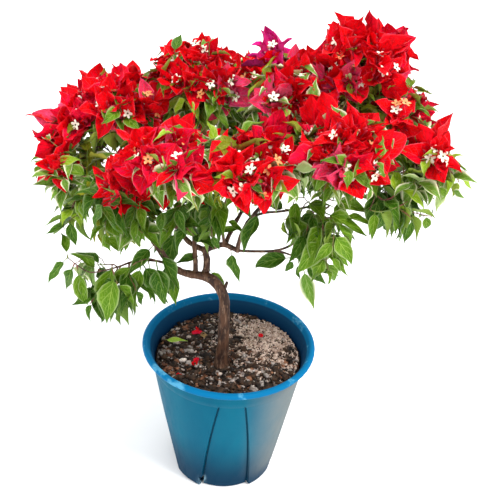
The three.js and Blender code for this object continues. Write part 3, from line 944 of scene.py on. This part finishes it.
def tubes(name, lines, sides):
    """Tapering round stems as one mesh. Each line is its points and the radius at each."""
    strand = bpy.data.curves.new(name, "CURVE")
    strand.dimensions = "3D"
    strand.bevel_depth = 1.0
    strand.bevel_resolution = (sides - 4) // 2
    strand.use_fill_caps = True
    for points, radii in lines:
        spline = strand.splines.new("POLY")
        spline.points.add(len(points) - 1)
        weighted = np.column_stack([points, np.ones(len(points))])
        spline.points.foreach_set("co", weighted.astype(np.float32).ravel())
        spline.points.foreach_set("radius", np.asarray(radii, np.float32))
    holder = bpy.data.objects.new(name, strand)
    scene.collection.objects.link(holder)
    bpy.context.view_layer.update()
    made = holder.evaluated_get(bpy.context.evaluated_depsgraph_get())
    mesh = bpy.data.meshes.new_from_object(made)
    bpy.data.objects.remove(holder)
    welded = bmesh.new()
    welded.from_mesh(mesh)
    bmesh.ops.recalc_face_normals(welded, faces=welded.faces)
    welded.to_mesh(mesh)
    welded.free()
    mesh.shade_smooth()
    mesh.name = name
    return mesh


def plant_part(name, mesh, material, slot):
    """Puts a part of the crown in the scene. Each part stands in for a share of every mass."""
    hand_over(model(name, mesh, material), slot, *mass_names)


twig_lines = [(runs[name][0], runs[name][2]) for name in trailers]
for steps_made in twigs:
    radii = twig_radius[steps_made]
    radii[0] = radii[1]
    twig_lines.append((np.array([twig_at[i] for i in steps_made]), radii))
young_bark = bark_finish("bark_twig", "3d2620", "75544a", "a3826c", 260)
plant_part("twigs", tubes("twigs", twig_lines, 6), young_bark, "bark")

# Shoots: this year's soft growth, green to wine red, with a leaf at every node. A flowering
# shoot ends in several triads, each on its own thin stalk.
leaf_rows = []
triads = []
stem_lines = []
golden = math.radians(137.5)
outer_growth = 1.25
tip_growth = 0.75
furthest_out = 14 * mm
free_reach = 5 * mm
shortest_leaf = 17 * mm
low_leaf_tints = {"deep": 0.50, "mid": 0.43, "olive": 0.03, "edged": 0.02, "fresh": 0.02}
leaf_tints = {"deep": 0.10, "mid": 0.40, "fresh": 0.22, "olive": 0.18, "edged": 0.10}
outer_leaf_tints = {"deep": 0.08, "mid": 0.26, "fresh": 0.10, "olive": 0.08, "edged": 0.48}
bract_tints = {"scarlet": 0.62, "crimson": 0.21, "wine": 0.06, "rose": 0.095, "magenta": 0.015}
tint_leanings = {
    "mass_top_left": {"rose": 1.5, "magenta": 5}, "mass_top_middle": {"rose": 0.5},
    "mass_front_left": {"rose": 2, "magenta": 8}, "mass_front_right": {"rose": 2, "magenta": 6},
    "mass_shoulder_left": {"rose": 1.5, "magenta": 2}, "mass_top_right": {"rose": 1.5},
    "mass_shoulder_right": {"crimson": 1.5, "magenta": 3}, "mass_tip_right": {"crimson": 1.6, "wine": 0.5},
    "mass_low_left": {"wine": 2, "rose": 0.3}, "mass_front_centre": {"rose": 0.4},
}


def drawn(table, leaning=None):
    """One name out of a table of shares, which a leaning makes likelier or rarer."""
    names = list(table)
    weights = np.array([table[name] * (leaning or {}).get(name, 1.0) for name in names])
    return names[int(np.searchsorted(np.cumsum(weights / weights.sum()), seeds.random()))]


def outside(point):
    """How far a point is outside every mass, in metres."""
    if any(within(name, point) for name in mass_names):
        return 0.0
    return min(tree.find_nearest(Vector(point))[3] for tree in mass_trees.values())


def square_to(way):
    """Two directions square to a way and to each other."""
    first = unit(np.cross(way, [0.0, 0.0, 1.0] if abs(way[2]) < 0.9 else [1.0, 0.0, 0.0]))
    return first, np.cross(way, first)


def add_leaf(shade, point, along, face, length):
    """One leaf on its way out of a point, with its upper side turned to a face as far as it can."""
    past = outside(point + along * length * 0.9)
    if past > furthest_out:
        return
    length = max(length - max(past - free_reach, 0) * 0.8, shortest_leaf)
    upper = face - along * np.dot(face, along)
    if np.linalg.norm(upper) < 0.2:
        upper = square_to(along)[0]
    leaf_rows.append((shade, point, along, unit(upper), length, length * seeds.uniform(0.38, 0.54)))


# Spurs: leaves on short stalks along the bare lengths of the boughs. For each: share of the limb's
# length, heading and rise in degrees, and stalk and leaf in mm.
spurs = {
    "bough_upright": ((0.4, 340, -45, 5, 40), (0.8, 195, -15, 5, 32)),
    "bough_mid_right": ((0.3, 100, 60, 5, 32), (0.75, 300, -65, 5, 36)),
    "bough_mid_left": ((0.35, 255, -60, 6, 50), (0.45, 215, -65, 6, 46), (0.6, 190, -40, 6, 44)),
    "bough_crossing": ((0.4, 345, -25, 5, 34), (0.5, 240, -55, 5, 40), (0.6, 200, 5, 6, 44)),
    "bough_rising": ((0.2, 185, -5, 4, 28), (0.45, 235, -55, 8, 50)),
    "bough_centre": ((0.3, 350, -15, 5, 26), (0.6, 330, -30, 5, 34)),
    "bough_thin_right": ((0.4, 200, 20, 5, 34), (0.5, 330, 25, 5, 38), (0.55, 250, -35, 5, 38),
                         (0.65, 20, 45, 5, 36), (0.7, 300, -50, 6, 44), (0.8, 330, 5, 6, 42),
                         (0.85, 220, 30, 5, 38), (0.95, 280, -60, 5, 40)),
    "bough_low_right": ((0.8, 205, -45, 6, 32),),
    "bough_low_spray": ((0.98, 350, -12, 3, 42), (0.9, 330, -28, 3, 34), (0.7, 183, -5, 7, 46),
                        (0.6, 210, -60, 4, 20), (0.75, 290, -70, 5, 22), (0.85, 310, -62, 9, 50)),
    "bough_low_left": ((0.45, 300, -60, 5, 44), (0.6, 330, -45, 5, 50), (0.75, 270, -70, 6, 52),
                       (0.9, 225, -40, 8, 44)),
    "trailer_left": ((0.1, 290, -70, 5, 40), (0.3, 190, 40, 4, 34), (0.5, 320, -75, 8, 56),
                     (0.55, 250, -55, 4, 28), (0.75, 300, -68, 6, 44), (0.8, 220, -60, 4, 32),
                     (0.95, 230, -30, 3, 32), (1.0, 120, 55, 3, 30)),
    "trailer_inner": ((0.5, 300, -60, 5, 48), (0.8, 250, -65, 6, 46), (1.0, 200, -40, 5, 40)),
    "bough_left": ((0.35, 290, -60, 5, 40), (0.45, 300, -60, 5, 44), (0.6, 230, -30, 5, 40),
                   (0.55, 320, -50, 6, 44)),
}
spur_radii = np.array([0.9, 0.75, 0.65]) * mm
for limb, rows in spurs.items():
    centres = runs[limb][0]
    for share, heading, rise_by, stalk, leaf in rows:
        foot = centres[min(int(share * len(centres)), len(centres) - 1)]
        heading, rise_by = math.radians(heading), math.radians(rise_by)
        level = math.cos(rise_by)
        along = np.array([math.cos(heading) * level, math.sin(heading) * level, math.sin(rise_by)])
        tip = foot + along * stalk * mm
        middle = (foot + tip) / 2 + [0, 0, 0.04 * stalk * mm]
        stem_lines.append((np.array([foot, middle, tip]), spur_radii))
        upper = unit(np.cross(along, np.cross([0.0, -0.6, 0.8] + seeds.normal(0, 0.25, 3), along)))
        shade = drawn(low_leaf_tints)
        length = leaf * mm
        leaf_rows.append((shade, tip, along, upper, length, length * seeds.uniform(0.38, 0.48)))

# One yellowing leaf that has dropped on the mix.
fallen_foot = np.array([-77 * mm, 10 * mm, soil_top(-70 * mm, 10 * mm) + 5 * mm])
fallen_along, fallen_upper = unit(np.array([1.0, -0.2, 0.25])), np.array([-0.25, 0.0, 1.0])
leaf_rows.append(("fresh", fallen_foot, fallen_along, fallen_upper, 30 * mm, 9 * mm))

Triad = namedtuple("Triad", "colour foot axis size opening florets seed")
stalk_radii = np.array([0.34, 0.3, 0.36]) * mm

for shoot in shoots:
    seeds = np.random.default_rng(shoot["seed"] + 1)
    name, sort = shoot["mass"], shoot["sort"]
    habit = habit_of(name)
    length = np.linalg.norm(shoot["tip"] - shoot["base"])
    path = curve_between(shoot["base"], shoot["way"], shoot["tip"], shoot["aim"], 7)
    ways = unit(np.gradient(path, axis=0))
    stem_lines.append((path, np.linspace(0.7, 0.45, len(path)) * mm))
    hanging, low_down = name.startswith("mass_hanging"), name.startswith(("mass_hanging", "mass_low"))
    shade = drawn(low_leaf_tints if low_down else outer_leaf_tints if sort == "outer" else leaf_tints)
    hang = 0.75 if hanging else 0.5 if low_down else 0.3
    leaf_step = (12 if name == "mass_hanging_left" else 7.5) * mm
    count = round(length / leaf_step) - (1 if sort == "bloom" else -2)
    turn = seeds.random() * full_turn
    for k in range(count):
        share = 0.12 + 0.86 * k / max(count - 1, 1)
        i = share * (len(path) - 1)
        low = int(min(i, len(path) - 2))
        point = path[low] + (path[low + 1] - path[low]) * (i - low)
        turn += golden + seeds.normal(0, 0.2)
        grown = seeds.uniform(0.68, 1.0) * habit.longest_leaf * (1 - 0.3 * share)
        if sort == "outer":
            grown *= outer_growth
        if share > 0.9 and sort != "bloom":
            grown *= tip_growth
        first, second = square_to(ways[low])
        radial = first * math.cos(turn) + second * math.sin(turn)
        along = unit(radial * 0.85 + ways[low] * 0.5 + np.array([0, 0, -hang]) + seeds.normal(0, 0.15, 3))
        face = np.array([0, 0, 1.0]) + 0.35 * ways[low] + seeds.normal(0, 0.3, 3)
        add_leaf(shade, point, along, face, grown * mm)
    if sort != "bloom":
        continue
    colour = shoot["tint"] or drawn(bract_tints, tint_leanings.get(name))
    first, second = square_to(shoot["aim"])
    triad_count = seeds.integers(3, 6)
    swing = seeds.random() * full_turn
    for k in range(triad_count):
        if k == 0:
            start, lean, stalk = shoot["tip"], seeds.uniform(0.05, 0.3), 5 * mm
        else:
            start = path[-2 - (k > 2)]
            lean, stalk = seeds.uniform(0.55, 1.0), seeds.uniform(9, 15) * mm
        swing += 2 * math.pi / max(triad_count - 1, 1) + seeds.normal(0, 0.3)
        outward = first * math.cos(swing) + second * math.sin(swing)
        axis = unit(shoot["aim"] * math.cos(lean) + outward * math.sin(lean) + np.array([0, 0, 0.15]))
        size = seeds.uniform(23, 34) * mm
        foot = start + axis * stalk
        foot = foot - axis * min(outside(foot + axis * size * 0.85), 15 * mm)
        middle = start + (foot - start) * 0.5 + [0, 0, 0.5 * mm]
        stem_lines.append((np.array([start, middle, foot]), stalk_radii))
        aged = "peach" if seeds.random() < 0.25 else "white"
        florets = [aged if seeds.random() < habit.open_chance else "bud" for _ in range(3)]
        own = colour if seeds.random() < 0.85 else drawn(bract_tints)
        opening = seeds.uniform(0.55, 1.2)
        triads.append(Triad(own, foot, axis, size, opening, florets, int(seeds.integers(1 << 30))))
stem, tree, shader = finish("soft_stem", Specular_IOR_Level=0.4, Roughness=0.5)
paint(tree, shader, tint(tree, mottled(tree, 60.0, 0.4, 0.6)[0], "6f8a3c", "8c4a44"))
plant_part("shoots", tubes("shoots", stem_lines, 5), stem, "leaves")

# Leaves: thin, smooth, pointed ovals on short stalks, folded a little along the midrib, with the
# tip turned down. They are dealt out by shoot into a few greens.


def blades(base, along, upper, length, width, shape, across, fold, droop, curl, twist, ripple, pucker, waves):
    """Corners of many thin blades: for each, rows from foot to tip and columns from edge to edge.

    shape is the share of the length and of the half width at each row. A blade bends down by
    droop over its length and by curl at its tip, turns about its midrib by twist, and its halves
    rise by fold from the midrib. Its edges wave by ripple, and pucker raises ridges along it.
    """
    rows, half = (np.array(part) for part in zip(*shape))
    bend = droop[:, None] * rows + curl[:, None] * np.clip((rows - 0.6) / 0.4, 0, 1) ** 2
    step = np.diff(rows, prepend=0) * length[:, None]
    forward = np.cumsum(np.cos(bend) * step, axis=1)[..., None]
    down = np.cumsum(np.sin(bend) * step, axis=1)[..., None]
    along, upper = along[:, None], upper[:, None]
    middle = base[:, None] + along * forward - upper * down
    normal = (np.sin(bend)[..., None] * along + np.cos(bend)[..., None] * upper)[:, :, None]
    flat = np.cross(along, upper)[:, :, None]
    turned = (twist[:, None] * rows)[..., None, None]
    side = flat * np.cos(turned) + normal * np.sin(turned)
    normal = normal * np.cos(turned) - flat * np.sin(turned)
    u = np.array(across)
    reach = (0.5 * width[:, None] * half)[..., None]
    tilt = fold[:, None, None]
    phase = seeds.random((len(base), 2)) * full_turn
    edge_phase = np.where(u < 0, phase[:, :1], phase[:, 1:])
    wave = np.sin(waves * full_turn * rows[:, None] + edge_phase[:, None])
    ridges = np.sin(8.0 * u + 3.0 * np.sin(5.0 * rows[:, None] + phase[:, :1, None]) + phase[:, 1:, None])
    lift = reach * (np.abs(u) ** 1.2 * np.sin(tilt) + ripple[:, None, None] * np.abs(u) ** 1.6 * wave
                    + pucker[:, None, None] * ridges)
    return middle[:, :, None] + side * (reach * u * np.cos(tilt))[..., None] + normal * lift[..., None]


def blade_mesh(name, points):
    """Blades as one mesh. All share one UV layout, from foot to tip and from edge to edge."""
    count, rows, columns, _ = points.shape
    grid = np.arange(rows * columns).reshape(rows, columns)
    quads = np.stack([grid[:-1, :-1], grid[:-1, 1:], grid[1:, 1:], grid[1:, :-1]], -1).reshape(-1, 4)
    faces = (quads[None] + np.arange(count)[:, None, None] * rows * columns).reshape(-1, 4)
    mesh = mesh_of(name, points.reshape(-1, 3), faces)
    u, v = np.meshgrid(np.linspace(0.02, 0.98, columns), np.linspace(0.02, 0.98, rows))
    flat = np.stack([u.ravel()[quads], v.ravel()[quads]], -1)
    layer = mesh.uv_layers.new(name="OFBake")
    layer.data.foreach_set("uv", np.tile(flat.reshape(-1), count).astype(np.float32))
    mesh.shade_smooth()
    return mesh


# The rib, side veins, fine net, margin and blush of a blade, all from its UV map.
veins, given, gives = group_of("veins", {"Pairs": 6.0, "Slant": 2.0, "Rib Width": 0.05, "Margin From": 0.72,
                                         "Blush Place": (0.0, 0.0, 0.0)},
                               ["Rib", "Veins", "Margin", "Blush", "Height"])
laid_out = put(veins, "ShaderNodeUVMap", uv_map="OFBake").outputs[0]
aside, up_blade, _ = put(veins, "ShaderNodeSeparateXYZ", {0: laid_out}).outputs
off_rib = work(veins, "MULTIPLY", work(veins, "ABSOLUTE", work(veins, "SUBTRACT", aside, 0.5)), 2.0)
rib = rise(veins, off_rib, given.outputs["Rib Width"], 0.0)
slanted = work(veins, "MULTIPLY", work(veins, "MULTIPLY", off_rib, given.outputs["Slant"]), -1.0)
rank = scaled(veins, up_blade, given.outputs["Pairs"], slanted)
off_vein = work(veins, "ABSOLUTE", work(veins, "SUBTRACT", work(veins, "FRACT", rank), 0.5))
side_vein = work(veins, "MULTIPLY", rise(veins, off_vein, 0.12, 0.0), rise(veins, off_rib, 1.0, 0.6))
net_place = put(veins, "ShaderNodeMapping", {0: laid_out, 3: (9.0, 14.0, 1.0)})
cells = put(veins, "ShaderNodeTexVoronoi", {"Vector": net_place.outputs[0], "Scale": 1.0},
            feature="DISTANCE_TO_EDGE")
net = rise(veins, cells.outputs[0], 0.07, 0.0)
both = work(veins, "MAXIMUM", side_vein, work(veins, "MULTIPLY", net, 0.55))
blush_at = put(veins, "ShaderNodeMapping", {0: laid_out, 1: given.outputs["Blush Place"], 3: (2.4, 1.6, 1.0)})
wash = put(veins, "ShaderNodeTexNoise",
           {"Vector": blush_at.outputs[0], "Scale": 1.0, "Detail": 3.0, "Roughness": 0.6})
for socket, mask in (("Rib", rib), ("Veins", both), ("Blush", rise(veins, wash.outputs[0], 0.42, 0.62)),
                     ("Margin", rise(veins, off_rib, given.outputs["Margin From"], 0.98)),
                     ("Height", work(veins, "MAXIMUM", rib, both))):
    veins.links.new(mask, gives.inputs[socket])


def blade_finish(name, tones, shares, pairs, slant, margin_from, raised, blush_place, **constants):
    """A leaf or bract: its own colour washed with a blush, veins and margin in other tones, and a
    duller underside. On a bract the pale veins, rib and margin are painted highlights on its ridges
    and edges. Tones: blade, blush, vein, margin and underside. Shares: blush, vein, margin."""
    tone, blush, vein_and_highlight, margin_and_highlight, under = tones
    blush_share, vein_share, margin_share = shares
    material, tree, shader = finish(name, **constants)
    node = put(tree, "ShaderNodeGroup", node_tree=veins)
    for socket, value in (("Pairs", pairs), ("Slant", slant), ("Margin From", margin_from),
                          ("Blush Place", blush_place)):
        node.inputs[socket].default_value = value
    for mask, colour, share in (("Blush", blush, blush_share), ("Veins", vein_and_highlight, vein_share * 0.6),
                                ("Rib", vein_and_highlight, vein_share), ("Margin", margin_and_highlight, margin_share)):
        tone = tint(tree, node.outputs[mask], tone, colour, share)
    back = put(tree, "ShaderNodeNewGeometry").outputs["Backfacing"]
    rough = scaled(tree, node.outputs["Veins"], 0.15, constants["Roughness"])
    paint(tree, shader, tint(tree, back, tone, under, 0.6), rough)
    bump(tree, shader, node.outputs["Height"], raised)
    return material


def many(low, high, count):
    """Even random values, one for each blade."""
    return seeds.uniform(low, high, count)


# For each row of a blade: share of its length and of its half width. Then its columns, the colours
# of each tint and how strong its blush, veins and margin are.
leaf_shape = ((0, 0.075), (0.11, 0.065), (0.14, 0.38), (0.23, 0.82), (0.35, 1.0), (0.49, 0.92), (0.63, 0.66),
              (0.76, 0.36), (0.88, 0.14), (1, 0.01))
leaf_across = (-1, -0.5, 0, 0.5, 1)
leaf_finishes = {
    "deep": (("2e5a06", "4a720e", "9cba58", "b4c48c", "7a963e"), (0.5, 0.65, 0.45)),
    "mid": (("4c7608", "6c9010", "b4cc60", "c8d49c", "9cb24a"), (0.5, 0.65, 0.45)),
    "fresh": (("7ea410", "a0b81c", "d8e47c", "d8e0a4", "bccc58"), (0.5, 0.65, 0.5)),
    "olive": (("7a8212", "94941a", "c6c660", "a2a83a", "b0ae4a"), (0.5, 0.6, 0.2)),
    "edged": (("5c8824", "7ca036", "b8cc7c", "f4f2d0", "b8c888"), (0.5, 0.65, 1.0)),
}
for order, (shade, (tones, shares)) in enumerate(leaf_finishes.items()):
    mine = [row for row in leaf_rows if row[0] == shade]
    base, along, upper, length, width = (np.array(part) for part in list(zip(*mine))[1:])
    count = len(mine)
    points = blades(base, along, upper, length, width, leaf_shape, leaf_across, fold=many(0.15, 0.9, count),
                    droop=many(0.0, 0.8, count), curl=many(-0.5, 1.2, count), twist=many(-0.8, 0.8, count),
                    ripple=many(0.1, 0.42, count), pucker=np.zeros(count), waves=1.7)
    margin_from = 0.52 if shade == "edged" else 0.7
    material = blade_finish(f"leaf_{shade}", tones, shares, 6.0, 1.6, margin_from, 0.2 * mm,
                            (order * 3.1, 0.0, 0.0), Roughness=0.38, Specular_IOR_Level=0.16)
    plant_part(f"leaves_{shade}", blade_mesh(f"leaves_{shade}", points), material, "leaves")

# Bracts: what look like petals are papery leaves in threes round the true flowers, broad at the
# foot and drawn out to a point, with raised veins and waved edges.
bract_shape = ((0, 0.16), (0.07, 0.6), (0.18, 0.92), (0.34, 1.0), (0.52, 0.93), (0.69, 0.70), (0.84, 0.38),
               (0.94, 0.15), (1, 0.01))
bract_across = (-1, -0.66, -0.33, 0, 0.33, 0.66, 1)
# The pale pinks of the bracts' veins, rib and margins are painted highlights, standing in for light caught on
# ridges and edges.
bract_finishes = {
    "scarlet": (("ff0204", "fc0432", "ff5468", "ff889c", "fc0618"), (0.65, 0.55, 0.45)),
    "crimson": (("fe021a", "f60850", "ff6080", "ff90aa", "fa0e3a"), (0.65, 0.55, 0.45)),
    "magenta": (("f80a7c", "f21eac", "fa82c4", "ff98cc", "f2409c"), (0.6, 0.7, 0.6)),
    "rose": (("ff3058", "fc468a", "fe9cb0", "feacc0", "fc587e"), (0.65, 0.7, 0.6)),
    "wine": (("e40206", "da0430", "ee4654", "f87082", "dc0a28"), (0.6, 0.6, 0.4)),
    "dried": (("a8855a", "b8946c", "c8a878", "b89468", "b8956a"), (0.5, 0.6, 0.3)),
}
# Spent bracts that have dropped on the mix: tint, place in mm, heading in degrees and size in mm.
dropped_bracts = (
    ("crimson", -47, 31, 10, 14), ("wine", -41, 36, 60, 10), ("dried", -36, 28, 340, 12),
    ("crimson", -36, -26, 80, 11), ("wine", -38, -32, 70, 10), ("scarlet", 38, 30, 100, 9),
    ("wine", -55, -48, 20, 8),
)
third_turn = 2.094
bract_rows = []
for triad in triads:
    seeds = np.random.default_rng(triad.seed)
    axis = triad.axis
    first, second = square_to(axis)
    turn = seeds.random() * full_turn
    for k in range(3):
        angle = turn + k * third_turn + seeds.normal(0, 0.15)
        radial = first * math.cos(angle) + second * math.sin(angle)
        tilt = triad.opening + seeds.normal(0, 0.18)
        own = triad.colour if seeds.random() < 0.8 else drawn(bract_tints)
        along = axis * math.cos(tilt) + radial * math.sin(tilt)
        upper = axis * math.sin(tilt) - radial * math.cos(tilt)
        length = triad.size * seeds.uniform(0.88, 1.12)
        bract_rows.append((own, triad.foot + radial * 1.2 * mm, along, upper, length))
for shade, x, y, heading, size in dropped_bracts:
    spot = np.array([x * mm, y * mm, soil_top(x * mm, y * mm) + 3 * mm])
    along = np.array([math.cos(math.radians(heading)), math.sin(math.radians(heading)), -0.1])
    bract_rows.append((shade, spot, unit(along), np.array([-0.1, 0.0, 1.0]), size * mm))
for order, (shade, (tones, shares)) in enumerate(bract_finishes.items()):
    mine = [row for row in bract_rows if row[0] == shade]
    base, along, upper, length = (np.array(part) for part in list(zip(*mine))[1:])
    count = len(mine)
    width = length * many(0.62, 0.88, count)
    points = blades(base, along, upper, length, width, bract_shape, bract_across, fold=many(0.1, 0.75, count),
                    droop=many(-0.6, 0.6, count), curl=many(-0.5, 0.9, count), twist=many(-0.5, 0.5, count),
                    ripple=many(0.08, 0.36, count), pucker=many(0.06, 0.19, count), waves=2.1)
    material = blade_finish(f"bract_{shade}", tones, shares, 7.0, 2.2, 0.84, 0.9 * mm,
                            (order * 2.7, 5.0, 0.0), Roughness=0.4, Specular_IOR_Level=0.05)
    plant_part(f"bracts_{shade}", blade_mesh(f"bracts_{shade}", points), material, "bracts")

# Florets: the true flowers, three to a triad. Each is a slender tube that opens into a small
# five-lobed star, cream white when fresh and apricot when it ages; many are still in bud.


def star_shape():
    """An open floret's face: a flat star of five notched lobes."""
    made = bmesh.new()
    ring = bmesh.ops.create_circle(made, segments=20, radius=1, cap_ends=True, cap_tris=True)["verts"]
    reaches = (0.42, 0.80, 1.0, 0.80)
    degrees = (-36, -18, 0, 18)
    for i, vert in enumerate(ring):
        lobe, part = divmod(i, 4)
        angle = math.radians(72 * lobe + degrees[part])
        reach = reaches[part]
        vert.co = (reach * math.cos(angle), reach * math.sin(angle), 0.16 * (reach > 0.5) - 0.02 * part)
    return shape_arrays(made)


def tube_shape(widths):
    """A slender round tube on the way up, from its section's heights and radii."""
    made = bmesh.new()
    line = [made.verts.new((radius, 0, height)) for height, radius in widths]
    edges = [made.edges.new(pair) for pair in zip(line, line[1:])]
    bmesh.ops.spin(made, geom=line + edges, steps=6, **turned_about_z)
    bmesh.ops.remove_doubles(made, verts=made.verts, dist=1e-5)
    return shape_arrays(made)


def eye_shape():
    """The dark mouth of an open floret's tube: a low blunt cone."""
    made = bmesh.new()
    bmesh.ops.create_cone(made, cap_ends=True, segments=6, radius1=1.0, radius2=0.4, depth=0.5)
    return shape_arrays(made)


def facing(axes):
    """Turning matrices that take Z to each axis."""
    helper = np.where(np.abs(axes[:, 2:]) < 0.9, [[0.0, 0.0, 1.0]], [[1.0, 0.0, 0.0]])
    first = unit(np.cross(axes, helper))
    spin = seeds.random(len(axes))[:, None] * full_turn
    second = np.cross(axes, first)
    turned = first * np.cos(spin) + second * np.sin(spin)
    return np.stack([turned, np.cross(axes, turned), axes], -1)


floret_at, floret_axis, floret_long, floret_kind = [], [], [], []
for triad in triads:
    seeds = np.random.default_rng(triad.seed + 1)
    first, second = square_to(triad.axis)
    turn = seeds.random() * full_turn
    for k, kind in enumerate(triad.florets):
        angle = turn + k * third_turn
        radial = first * math.cos(angle) + second * math.sin(angle)
        floret_at.append(triad.foot)
        floret_axis.append(unit(triad.axis + radial * seeds.uniform(0.22, 0.5)))
        floret_long.append(seeds.uniform(13, 18) * mm)
        floret_kind.append(kind)
floret_at, floret_axis = np.array(floret_at), np.array(floret_axis)
floret_long, floret_kind = np.array(floret_long), np.array(floret_kind)


def floret_mesh(name, shape, chosen, sizes, raised):
    """Copies of a shape at the foot or at the mouth of the chosen florets."""
    where = floret_at[chosen] + floret_axis[chosen] * (floret_long[chosen] * raised)[:, None]
    mesh = joined(name, [shape], np.zeros(len(where), int), sizes, facing(floret_axis[chosen]), where)
    mesh.shade_smooth()
    return mesh


def petal_finish(name, pale, deep, scale=400.0):
    """A dull petal whose tone clouds from pale to deep."""
    material, tree, shader = finish(name, Roughness=0.6, Specular_IOR_Level=0.3)
    cloudy, cloudy_height = mottled(tree, scale, 0.35, 0.65)
    paint(tree, shader, tint(tree, cloudy, pale, deep))
    bump(tree, shader, cloudy_height, 0.15 * mm, 0.5)
    return material


# Sections of a bud and of an open floret's tube: share of its length, and radius as a share of
# the tube's own.
bud_widths = ((0.02, 0.55), (0.2, 0.9), (0.45, 0.7), (0.72, 0.8), (0.88, 1.15), (0.97, 0.8), (1.0, 0.05))
open_widths = ((0.02, 0.55), (0.22, 0.95), (0.5, 0.7), (0.9, 0.9), (0.99, 1.3))
eye_radius = 1.1 * mm
tube_radius = 0.95 * mm
star = star_shape()
for kind, pale, deep in (("white", "fbf8ea", "f1ecd0"), ("peach", "f7b07a", "e98a4e")):
    chosen = np.flatnonzero(floret_kind == kind)
    sizes = np.repeat((many(4.8, 6.0, len(chosen)) * mm)[:, None], 3, axis=1)
    plant_part(f"florets_{kind}", floret_mesh(f"florets_{kind}", star, chosen, sizes, 1.0),
               petal_finish(f"floret_{kind}", pale, deep), "florets")
opened = np.flatnonzero(floret_kind != "bud")
budded = np.flatnonzero(floret_kind == "bud")
eye_sizes = np.full((len(opened), 3), eye_radius)
plant_part("floret_eyes", floret_mesh("floret_eyes", eye_shape(), opened, eye_sizes, 1.02),
           petal_finish("floret_eye", "5f6a2a", "2f3a1a"), "florets")
for name, widths, chosen, pale, deep in (("floret_tubes", open_widths, opened, "d0405a", "b02838"),
                                         ("floret_buds", bud_widths, budded, "cc3048", "a02430")):
    girth = np.full(len(chosen), tube_radius)
    sizes = np.column_stack([girth, girth, floret_long[chosen]])
    plant_part(name, floret_mesh(name, tube_shape(widths), chosen, sizes, 0.0),
               petal_finish(name, pale, deep, 120.0), "florets")
